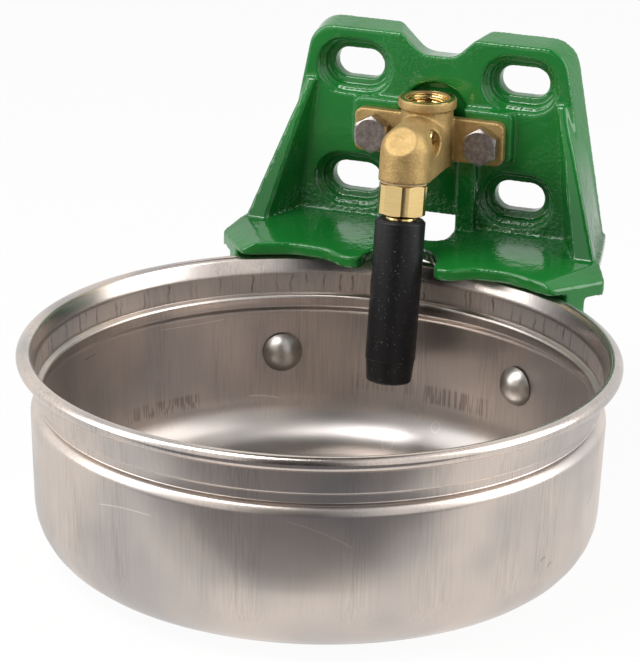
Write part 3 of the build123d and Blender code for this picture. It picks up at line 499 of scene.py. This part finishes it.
# Placements, each a matrix in metres
def placement(origin, along_x, along_z):
    """Matrix whose local z points along_z and local x along_x, at a point in millimetres."""
    z_axis = Vector(along_z).normalized()
    x_axis = Vector(along_x).normalized()
    y_axis = z_axis.cross(x_axis)
    turn = Matrix((x_axis, y_axis, z_axis)).transposed().to_4x4()
    return Matrix.Translation(Vector(origin) * MM) @ turn


def through_bowl(side):
    """A bowl bolt's axis, pointing away from the bowl's middle; heights along it count from that middle."""
    angle = radians(bowl_bolt_angle) * side
    return placement((0, 0, bowl_bolt_z), (0, 0, 1), (sin(angle), cos(angle), 0))


outlet_lean = radians(outlet_tilt)
outlet = placement((0, outlet_y, outlet_z), (1, 0, 0), (0, sin(outlet_lean), cos(outlet_lean)))


# Shapes: a shape is (points in millimetres, faces)
def stack(rings, wrap=False):
    """Skin over rings of points, bottom ring first; the ends are closed, or joined to each other."""
    count = len(rings[0])
    points = [p for ring in rings for p in ring]
    faces = []
    for i in range(len(rings) if wrap else len(rings) - 1):
        low, high = i * count, (i + 1) % len(rings) * count
        for j in range(count):
            k = (j + 1) % count
            faces.append((low + j, low + k, high + k, high + j))
    if not wrap:
        faces.append(tuple(range(count))[::-1])
        faces.append(tuple(range((len(rings) - 1) * count, len(rings) * count)))
    return points, faces


def ring_of(radius, height, angles):
    """One ring. Radius and height are numbers or depend on the angle."""
    made = []
    for a in angles:
        r = radius(a) if callable(radius) else radius
        z = height(a) if callable(height) else height
        made.append((r * cos(a), r * sin(a), z))
    return made


def even_angles(count):
    """Angles that share a full turn evenly."""
    return [2 * pi * i / count for i in range(count)]


def turned(profile, count=96):
    """Turned shape, open through its middle, from the (radius, height) points round its section."""
    angles = even_angles(count)
    return stack([ring_of(r, z, angles) for r, z in profile], wrap=True)


def rounded(points, bends, steps=5):
    """A line's inner corners made round; bends are their radii, first and last point stay."""
    made = [points[0]]
    for i in range(1, len(points) - 1):
        before, here, after = (Vector(points[i + k]) for k in (-1, 0, 1))
        towards, away = (before - here).normalized(), (after - here).normalized()
        half = towards.angle(away) / 2
        reach = bends[i - 1] / tan(half)
        middle = here + (towards + away).normalized() * (bends[i - 1] / sin(half))
        start, end = here + towards * reach - middle, here + away * reach - middle
        sweep = start.angle(end)
        for k in range(steps + 1):
            t = k / steps
            spoke = (start * sin((1 - t) * sweep) + end * sin(t * sweep)) / sin(sweep)
            made.append(tuple(middle + spoke))
    return made + [points[-1]]


def joined(*shapes):
    """One shape from several."""
    points, faces = [], []
    for shape_points, shape_faces in shapes:
        faces += [tuple(i + len(points) for i in face) for face in shape_faces]
        points += shape_points
    return points, faces


def set_shading(mesh, crease):
    """Smooth faces that break at edges sharper than crease, in degrees."""
    mesh.shade_smooth()
    mesh.set_sharp_from_angle(angle=radians(crease))


def piece(name, shapes, body, slot, replaced=(), crease=32.0, edge=0.0, finish=None):
    """Makes one piece from shapes, each with its placement, and hands it to its body.

    Faces meet sharply beyond crease degrees. Sharp edges are broken by edge millimetres. The finish is the
    slot's own unless another one is named.
    """
    grown = bmesh.new()
    for (points, faces), place in shapes:
        corners = [grown.verts.new(place @ (Vector(p) * MM)) for p in points]
        for face in faces:
            grown.faces.new([corners[i] for i in face])
    bmesh.ops.remove_doubles(grown, verts=grown.verts, dist=1e-7)
    bmesh.ops.recalc_face_normals(grown, faces=grown.faces)
    mesh = bpy.data.meshes.new(name)
    grown.to_mesh(mesh)
    grown.free()
    made = bpy.data.objects.new(name, mesh)
    bpy.context.scene.collection.objects.link(made)
    mesh.materials.append(finishes[finish or slot])
    if edge:
        bevel = made.modifiers.new("broken_edges", "BEVEL")
        bevel.width = edge * MM
        bevel.segments = 2
        bevel.angle_limit = radians(28)
        bevel.harden_normals = True
        weld = made.modifiers.new("weld_slivers", "WELD")
        weld.merge_threshold = 0.02 * MM
    set_shading(mesh, crease)
    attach(made, body)
    if replaced:
        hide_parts(*replaced)


def drop_crumbs(mesh, least=300):
    """Deletes what the voxels leave loose: small islands, and single faces that hang on other faces."""
    grown = bmesh.new()
    grown.from_mesh(mesh)
    hanging = [face for face in grown.faces if not any(edge.is_manifold for edge in face.edges)]
    bmesh.ops.delete(grown, geom=hanging, context="FACES")
    seen, crumbs = set(), []
    for start in grown.verts:
        if start in seen:
            continue
        seen.add(start)
        island = [start]
        for corner in island:
            for edge in corner.link_edges:
                other = edge.other_vert(corner)
                if other not in seen:
                    seen.add(other)
                    island.append(other)
        if len(island) < least:
            crumbs += island
    bmesh.ops.delete(grown, geom=crumbs, context="VERTS")
    grown.to_mesh(mesh)
    grown.free()


# Castings are remeshed askew, so that no long edge runs nearly along the voxels and comes out stepped
askew = Euler((radians(27), radians(34), radians(19))).to_matrix().to_4x4()


def cast_piece(name, source, body, slot, voxel, smoothing, keep, below=None):
    """A casting: a CAD node's shape remeshed and worn round at its edges, as a sand mould leaves it.

    Voxel is in millimetres, smoothing counts passes, keep is the share of faces that stay. What is above the
    height below, in millimetres, is cut off.
    """
    mesh = nodes[source].data.copy()
    made = bpy.data.objects.new(name, mesh)
    bpy.context.scene.collection.objects.link(made)
    welded = bmesh.new()
    welded.from_mesh(mesh)
    bmesh.ops.remove_doubles(welded, verts=welded.verts, dist=1e-6)
    if below is not None:
        whole = welded.verts[:] + welded.edges[:] + welded.faces[:]
        bmesh.ops.bisect_plane(welded, geom=whole, plane_co=(0, 0, below * MM), plane_no=(0, 0, 1),
                               clear_outer=True)
        open_edges = [e for e in welded.edges if e.is_boundary]
        bmesh.ops.triangle_fill(welded, use_beauty=True, edges=open_edges)
    bmesh.ops.transform(welded, matrix=askew, verts=welded.verts)
    welded.to_mesh(mesh)
    welded.free()
    remesh = made.modifiers.new("remesh", "REMESH")
    remesh.mode = "VOXEL"
    remesh.voxel_size = voxel * MM
    smooth = made.modifiers.new("worn", "SMOOTH")
    smooth.factor = 0.5
    smooth.iterations = smoothing
    if keep < 1:
        fewer = made.modifiers.new("fewer", "DECIMATE")
        fewer.ratio = keep
    bpy.context.view_layer.update()
    finished = bpy.data.meshes.new_from_object(made.evaluated_get(bpy.context.evaluated_depsgraph_get()))
    made.modifiers.clear()
    made.data = finished
    finished.name = name
    finished.transform(askew.inverted())
    drop_crumbs(finished)
    finished.materials.clear()
    finished.materials.append(finishes[slot])
    finished.shade_smooth()
    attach(made, body)
    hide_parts(source)


# A forged hexagon's corners are cut back, and a cone leads from its flats to a narrower round face
corner_cut = 0.2
face_share = 0.94
forged_cone = radians(28)


def hexagon(flats, limit, turn=0.0):
    """Distance to a hexagon's side at an angle, its corners cut back to a round bar's radius."""
    def distance(angle):
        off = (angle - turn + pi / 6) % (pi / 3) - pi / 6
        return min(flats / 2 / cos(off), limit)
    return distance


def forged_hexagon(flats):
    """Distance to a forged hexagon's side at an angle."""
    return hexagon(flats, flats / 2 / cos(pi / 6) - corner_cut)


def hexagon_angles(corner, turn=0.0):
    """Angles round a hexagon, the outer ones spread over corner degrees to either side of each corner."""
    steps = [-30, -30 + corner / 2, -30 + corner, -14, -7, 0, 7, 14, 30 - corner, 30 - corner / 2]
    return [turn + radians(60 * side + s) for side in range(6) for s in steps]


def hexagon_head(flats, height):
    """Forged hexagon head that stands on 0: flat sides, cone-cut top, small break at the bottom."""
    angles = hexagon_angles(2.0)
    side = forged_hexagon(flats)
    face = flats / 2 * face_share
    broken = 0.2

    def cone(angle):
        return height - (side(angle) - face) * tan(forged_cone)
    return stack([
        ring_of(lambda a: side(a) - broken, 0.0, angles),
        ring_of(side, broken, angles),
        ring_of(side, cone, angles),
        ring_of(face, height, angles),
        ring_of(face / 2, height, angles),
    ])


def threaded_rings(radius, pitch, depth, low, high, count):
    """Rings of a thread's wall from low to high, cut to depth inside radius and fading out at both ends."""
    steps = 8
    rows = max(2, round((high - low) / pitch * steps))
    angles = even_angles(count)
    rings = []
    for i in range(rows + 1):
        z = low + (high - low) * i / rows
        fade = min(1.0, i / steps, (rows - i) / steps)
        ring = []
        for a in angles:
            phase = (z / pitch - a / (2 * pi)) % 1.0
            # Flat crest, straight flanks, flat root
            cut = min(1.0, max(0.0, abs(phase - 0.5) * 2.6 - 0.15)) * depth * fade
            ring.append(((radius - cut) * cos(a), (radius - cut) * sin(a), z))
        rings.append(ring)
    return rings


# Bowl
def wall_outside(z):
    """Outside radius of the tapered wall at a height."""
    widening = wall_radius_high - wall_radius_low
    return wall_radius_low + (z - foot_corner) * widening / (shoulder_z - foot_corner)


def bowl_shape(count=288):
    """The drawn sheet: its middle line from floor to rolled rim, given its thickness, then spun round."""
    half = sheet / 2
    mid_roll = roll_radius - half
    roll_r = rim_radius - roll_radius
    floor_radius = wall_outside(half) - half
    lean = radians(180 - roll_lean)
    bend_steps, roll_steps = 8, 40
    line = rounded(
        [(0.0, half), (floor_radius, half), (wall_outside(shoulder_z) - half, shoulder_z),
         (groove_radius - half, groove_low_z), (groove_radius - half, groove_high_z),
         (band_radius_low - half, groove_high_z + band_foot), (band_radius_high - half, band_z),
         (roll_r + mid_roll * cos(lean), roll_z + mid_roll * sin(lean))],
        [foot_corner - half, shoulder_bend, *groove_bends, lip_bend], steps=bend_steps)
    # The flat floor and the straight wall get points of their own; the wall starts where the foot's bend ends
    floor_line = [(floor_radius * t, half) for t in (0.0, 0.12, 0.24, 0.36, 0.48, 0.6, 0.7)]
    foot = line[1:bend_steps + 2]
    above = line[bend_steps + 2:]
    wall_line = [tuple(Vector(foot[-1]).lerp(Vector(above[0]), t)) for t in (0.2, 0.4, 0.6, 0.8)]
    roll_line = []
    for i in range(1, roll_steps + 1):
        angle = lean - radians(roll_turn - roll_lean) * i / roll_steps
        roll_line.append((roll_r + mid_roll * cos(angle), roll_z + mid_roll * sin(angle)))
    line = floor_line + foot + wall_line + above + roll_line
    inner, outer = [], []
    for i, point in enumerate(line):
        ahead = Vector(line[min(i + 1, len(line) - 1)]) - Vector(line[max(i - 1, 0)])
        across = Vector((-ahead.y, ahead.x)).normalized() * half
        inner.append(tuple(Vector(point) + across))
        outer.append(tuple(Vector(point) - across))
    # The sheet's edge inside the roll is rounded over
    end = (Vector(inner[-1]) + Vector(outer[-1])) / 2
    onward = (Vector(line[-1]) - Vector(line[-2])).normalized() * half
    section = inner + [tuple(end + onward * 0.8)] + outer[::-1]
    angles = even_angles(count)
    rings = []
    for r, z in section:
        loose = min(1.0, r / still_radius) * (1.0 if z < stiff_above_z else stiff_share)
        ring = []
        for a in angles:
            spot = Vector((cos(a) * waves_around, sin(a) * waves_around, z / wave_rise))
            wave = noise.noise(spot) * out_of_round * loose
            ring.append(((r + wave) * cos(a), (r + wave) * sin(a), max(z, 0.0)))
        rings.append(ring)
    rings[0] = [(0.0, 0.0, sheet)] * count
    rings[-1] = [(0.0, 0.0, 0.0)] * count
    points, faces = stack(rings)
    return points, faces[:-2]         # both ends are points on the axis and need no cap


piece("drawn_bowl", [(bowl_shape(), Matrix.Identity(4))], "frame", "stainless_bowl", ["bowl"], crease=50)


# Bowl bolts: domed head, square neck, threaded shank
def bowl_bolt_shape():
    """Rings from the dome's top over its flat side to the shank's end, and a square neck through them."""
    ball = (dome_radius ** 2 + dome_height ** 2) / (2 * dome_height)
    dome = [(ball * sin(t), head_face - dome_height + ball - ball * cos(t))
            for t in [asin(dome_radius / ball) * i / 14 for i in range(15)]]
    under = [(dome_radius - 0.2, head_face), (5.0, head_face), (bolt_thread_radius, head_face + 3)]
    angles = even_angles(48)
    rings = [ring_of(r, z, angles) for r, z in dome + under]
    rings += threaded_rings(bolt_thread_radius, bolt_thread_pitch, bolt_thread_cut,
                            nut_seat - 8, bolt_end - 0.4, 48)
    rings += [ring_of(bolt_thread_radius - 0.5, bolt_end, angles)]
    half = neck_side / 2
    square = stack([[(half, half, z), (-half, half, z), (-half, -half, z), (half, -half, z)]
                    for z in (head_face - 0.1, head_face + 1.7)])
    return joined(stack(rings), square)


piece("bowl_bolt_pair", [(bowl_bolt_shape(), through_bowl(side)) for side in (-1, 1)], "frame",
      "stainless_fastener", ["bowl_bolts"])


def bowl_nut_shape():
    """Forged hexagon nut, a cone at both faces and its bore broken at both ends."""
    angles = hexagon_angles(2.0)
    side = forged_hexagon(nut_flats)
    face = nut_flats / 2 * face_share
    low, high = nut_seat, nut_seat + nut_height
    bore = bolt_thread_radius + 0.02
    mouth = bolt_thread_radius + 0.5

    def lower(angle):
        return low + (side(angle) - face) * tan(forged_cone)

    def upper(angle):
        return high - (side(angle) - face) * tan(forged_cone)
    return stack([
        ring_of(face, low, angles), ring_of(side, lower, angles), ring_of(side, upper, angles),
        ring_of(face, high, angles), ring_of(mouth, high, angles), ring_of(bore, high - 0.5, angles),
        ring_of(bore, low + 0.5, angles), ring_of(mouth, low, angles),
    ], wrap=True)


piece("bowl_nut_pair", [(bowl_nut_shape(), through_bowl(side)) for side in (-1, 1)], "frame",
      "stainless_fastener", ["bowl_bolt_nuts"], crease=20, edge=0.15)


# Wall bracket and valve body, the two castings
cast_piece("cast_bracket", "wall_bracket", "frame", "green_enamel", voxel=0.75, smoothing=12, keep=0.4)
cast_piece("valve_casting", "valve_body", "frame", "cast_brass", voxel=0.6, smoothing=3, keep=1.0,
           below=collar_foot_z + 0.3)


def inlet_thread_shape():
    """Machined end face and the G 1/2 thread inside."""
    angles = even_angles(96)
    low = inlet_top_z - inlet_thread_depth
    outside = [(inlet_bore_radius + 0.2, low), (inlet_bore_radius + 0.2, inlet_top_z - 0.4),
               (collar_radius - 0.75, inlet_top_z - 0.4), (collar_radius - 0.85, inlet_top_z),
               (inlet_thread_radius + inlet_thread_cut, inlet_top_z),
               (inlet_thread_radius, inlet_top_z - inlet_thread_cut)]
    wall = threaded_rings(inlet_thread_radius, inlet_thread_pitch, inlet_thread_cut,
                          low, inlet_top_z - 1.2, 96)
    return stack([ring_of(r, z, angles) for r, z in outside] + wall[::-1], wrap=True)


inlet_place = placement((0, inlet_y, 0), (1, 0, 0), (0, 0, 1))
collar_top = inlet_top_z - 0.1
collar_profile = rounded([(inlet_bore_radius, collar_foot_z), (collar_radius, collar_foot_z),
                          (collar_radius, collar_top), (inlet_bore_radius, collar_top)], [0.8, 0.75], steps=4)
piece("inlet_collar", [(turned(collar_profile), inlet_place)], "frame", "cast_brass")
piece("inlet_thread", [(inlet_thread_shape(), inlet_place)], "frame", "cast_brass", finish="turned_brass",
      crease=40)


# Valve mounting bolts
def valve_bolt_shape():
    """Hexagon head on 0, its shank below: plain under the head, then threaded to a narrower tip."""
    angles = even_angles(48)
    tip = ring_of(valve_thread_radius - 0.7, -valve_bolt_length, angles)
    shank = threaded_rings(valve_thread_radius, valve_thread_pitch, valve_thread_cut,
                           -valve_bolt_length + 0.6, -6.0, 48)
    plain = [ring_of(valve_thread_radius, z, angles) for z in (-5.0, 0.1)]
    return joined(hexagon_head(valve_bolt_flats, valve_bolt_head), stack([tip] + shank + plain))


def through_flange(side):
    """A valve bolt's axis, pointing from the flange's face to the bolt's head."""
    return placement((side * valve_bolt_x, flange_y, valve_bolt_z), (1, 0, 0), (0, -1, 0))


piece("valve_bolt_pair", [(valve_bolt_shape(), through_flange(side)) for side in (-1, 1)], "frame",
      "zinc_bolt", ["valve_mounting_bolts"], crease=20, edge=0.12)


# Parts on the outlet's axis
def gland_nut_shape():
    """Nut from round bar: milled flats, corners left from the bar, both faces turned back in a cone."""
    turn = radians(nut_angle) + radians(30)
    angles = hexagon_angles(8.5, turn)
    side = hexagon(nut_flats_width, nut_turned_radius, turn)
    face = nut_flats_width / 2 - 0.3

    def lower(angle):
        return nut_low + (side(angle) - face) * tan(nut_cone)

    def upper(angle):
        return nut_top - (side(angle) - face) * tan(nut_cone)
    inside = [(nut_spigot_radius, nut_top), (nut_spigot_radius, nut_spigot_top),
              (nut_bore_radius, nut_spigot_top), (nut_bore_radius, nut_low + nut_lip_height),
              (nut_lip_radius, nut_low + nut_lip_height), (nut_lip_radius, nut_low + 0.4),
              (nut_lip_radius + 0.4, nut_low)]
    return stack([ring_of(face, nut_low, angles), ring_of(side, lower, angles), ring_of(side, upper, angles),
                  ring_of(face, nut_top, angles)] + [ring_of(r, z, angles) for r, z in inside], wrap=True)


piece("gland_nut", [(gland_nut_shape(), outlet)], "frame", "turned_brass", ["tube_nut"], crease=14)

# The tube from the top of its ball down, then back up its bore
tube_profile = [(tube_neck_bore, tube_ball_top), (tube_ball_flat, tube_ball_top)]
for ball_angle in range(64, 129, 8):
    tube_profile.append((tube_ball_radius * sin(radians(ball_angle)),
                         tube_ball_height + tube_ball_radius * cos(radians(ball_angle))))
tube_profile += rounded([(tube_neck_radius, tube_neck_top), (tube_neck_radius, tube_shoulder),
                         (tube_radius, tube_shoulder), (tube_radius, tube_low), (tube_bore, tube_low)],
                        [0.4, 0.5, 0.4], steps=3)
tube_profile += [(tube_bore, tube_shoulder - 3), (tube_neck_bore, tube_shoulder - 3)]
piece("valve_tube_turned", [(turned(tube_profile, 64), outlet)], "tube", "turned_brass", ["valve_tube"])

sleeve_profile = rounded(
    [(sleeve_bore, sleeve_middle), (sleeve_bore, sleeve_top), (sleeve_radius - 1.4, sleeve_top),
     (sleeve_radius, sleeve_top - 1.4), (sleeve_radius, sleeve_step),
     (sleeve_radius - 0.35, sleeve_step - 0.3), (sleeve_nose_radius, sleeve_low + 1),
     (sleeve_nose_radius - 1, sleeve_low),
     (tube_radius + 1.0, sleeve_low), (sleeve_bore, sleeve_low + 1.0), (sleeve_bore, sleeve_middle)],
    [0.2, 0.5, 0.6, 0.12, 0.1, 0.5, 0.3, 0.3, 0.2], steps=4)
piece("rubber_sleeve", [(turned(sleeve_profile[:-1]), outlet)], "tube", "black_rubber", ["tube_sleeve"],
      crease=40)

# The spring, a copy of its CAD node in its slot's finish; in the valve its top end is held by the chamber's
# roof and it shortens under the plunger's ring
spring_mesh = nodes["valve_spring"].data.copy()
spring = bpy.data.objects.new("return_spring", spring_mesh)
bpy.context.scene.collection.objects.link(spring)
spring_slot = slots["valve_spring"]
spring_mesh.materials.clear()
spring_mesh.materials.append(finishes[spring_slot])
set_shading(spring_mesh, 40)
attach(spring, "frame")
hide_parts("valve_spring")
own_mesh(spring)

# CAD nodes that show as they are
for name, node in nodes.items():
    if not node.hide_render:
        node.data.materials.clear()
        node.data.materials.append(finishes[slots[name]])
        set_shading(node.data, 30)


# Floor, light and camera
def looked_at(tree):
    """1 for rays from the camera, off glossy faces or through clear ones, 0 for those that light the bowl."""
    path = add(tree, "LightPath")
    seen = add(tree, "Math", {0: path.outputs["Is Camera Ray"], 1: path.outputs["Is Glossy Ray"]},
               operation="MAXIMUM")
    return add(tree, "Math", {0: seen, 1: path.outputs["Is Transmission Ray"]}, operation="MAXIMUM")


def floor_paper():
    """Studio paper: matt off-white that glows where it is looked at, and can't be seen from below."""
    material, tree = start_material("floor_paper")
    matt = add(tree, "BsdfPrincipled", {"Base Color": srgb("#f0f0ee"), "Roughness": 0.9})
    glow = add(tree, "Emission", {"Color": srgb("#ffffff"), "Strength": 1.0})
    glow_share = add(tree, "Math", {0: looked_at(tree), 1: 0.94}, operation="MULTIPLY")
    upper_side = add(tree, "MixShader", {0: glow_share, 1: matt, 2: glow})
    facing = add(tree, "NewGeometry").outputs["Backfacing"]
    both_sides = add(tree, "MixShader", {0: facing, 1: upper_side, 2: add(tree, "BsdfTransparent")})
    add(tree, "OutputMaterial", {"Surface": both_sides})
    return material


floor_half = 12
floor_gap = 0.0002
floor_mesh = bpy.data.meshes.new("floor")
floor_mesh.from_pydata([(-floor_half, -floor_half, 0), (floor_half, -floor_half, 0),
                        (floor_half, floor_half, 0), (-floor_half, floor_half, 0)], [], [(0, 1, 2, 3)])
floor_mesh.materials.append(floor_paper())
floor = bpy.data.objects.new("floor", floor_mesh)
bpy.context.scene.collection.objects.link(floor)
floor.location.z = -floor_gap

world = bpy.data.worlds.new("studio")
bpy.context.scene.world = world
world.use_nodes = True
sky = world.node_tree
sky.nodes.clear()
lit = add(sky, "Background", {"Color": srgb("#ffffff"), "Strength": 0.25})
shown = add(sky, "Background", {"Color": srgb("#ffffff"), "Strength": 1.0})
add(sky, "OutputWorld", {"Surface": add(sky, "MixShader", {0: looked_at(sky), 1: lit, 2: shown})})

# The lamps aim at this point, in metres
lamp_target = Vector((0, 0.03, 0.1))


def softbox(name, azimuth, elevation, distance, size, power):
    """Area lamp, sizes in metres. Azimuth 0 stands on the animal's side, 90 on the right, in degrees."""
    a, e = radians(azimuth), radians(elevation)
    away = Vector((sin(a) * cos(e), -cos(a) * cos(e), sin(e)))
    light = bpy.data.lights.new(name, "AREA")
    light.shape = "RECTANGLE"
    light.size, light.size_y = size
    light.energy = power
    lamp = bpy.data.objects.new(name, light)
    bpy.context.scene.collection.objects.link(lamp)
    lamp.location = lamp_target + away * distance
    lamp.rotation_mode = "QUATERNION"
    lamp.rotation_quaternion = away.to_track_quat("Z", "Y")


softbox("softbox_left", -60, 30, 1.3, (0.7, 1.2), 9.0)
softbox("softbox_right", 100, 26, 1.3, (0.8, 1.2), 12.0)
softbox("softbox_above", -32, 60, 1.2, (0.5, 0.5), 8.0)


# The unlit end of the studio, in front, as dark sheets: painted shade that the metal mirrors; nothing else
# sees it
def reflected_shade_sheet(name, colour):
    """A matt sheet of one colour that stands in for the studio's shade. Woven cotton,
    matt; its weave is too fine to show and is left out.
    """
    material, tree = start_material(name)
    finish_material(tree, {"Base Color": srgb(colour), "Roughness": 0.9})
    return material


# Places in metres, widths from the middle, of the sheets of painted shade: a table that widens away from the
# bowl, a screen and a ceiling
near_edge, near_half = 0.2, 0.14
table_edge, table_half = 0.38, 0.75
far_edge, screen_half = 1.7, 0.62
screen_top, ceiling_half, ceiling_back = 1.8, 0.45, 1.0
end_turn = radians(13.5)
rows = [(near_half, -near_edge, 0.0), (table_half, -table_edge, 0.0), (table_half, -far_edge, 0.0),
        (screen_half, -far_edge, 0.0), (screen_half, -far_edge, screen_top),
        (ceiling_half, -far_edge, screen_top), (ceiling_half, ceiling_back, screen_top)]
turn = Matrix.Rotation(end_turn, 3, "Z")
corners = [turn @ Vector((side * x, y, z)) for x, y, z in rows for side in (-1, 1)]
dark_end = bpy.data.meshes.new("dark_end")
dark_end.from_pydata(corners, [], [(0, 1, 3, 2), (2, 3, 5, 4), (6, 7, 9, 8), (10, 11, 13, 12)])
dark_end.materials.append(reflected_shade_sheet("dark_painted_shade_sheet", "#1c1c20"))
dark_end.materials.append(reflected_shade_sheet("grey_painted_shade_table", "#6c6c70"))
for face in dark_end.polygons[:2]:
    face.material_index = 1
dark_screen = bpy.data.objects.new("dark_end", dark_end)
bpy.context.scene.collection.objects.link(dark_screen)
for ray in ("visible_camera", "visible_diffuse", "visible_transmission", "visible_shadow"):
    setattr(dark_screen, ray, False)

# Camera: the photograph's height and the focal length are in pixels, places in metres
photo_height = 662
focal_length = 3253.58
camera_place = Vector((0.47741336, -1.32894717, 0.61334158))
camera_right = Vector((0.9382889, 0.34520649, 0.02112869))
camera_up = Vector((-0.13512696, 0.30967546, 0.9411917))
camera_back = Vector((0.31836245, -0.88596478, 0.33721175))
camera_data = bpy.data.cameras.new("camera")
camera_data.sensor_width = 36.0
camera_data.lens = 36.0 * focal_length / photo_height
camera = bpy.data.objects.new("camera", camera_data)
bpy.context.scene.collection.objects.link(camera)
camera_turn = Matrix((camera_right, camera_up, camera_back)).transposed().to_4x4()
camera.matrix_world = Matrix.Translation(camera_place) @ camera_turn
bpy.context.scene.camera = camera
bpy.context.scene.view_settings.view_transform = "Standard"
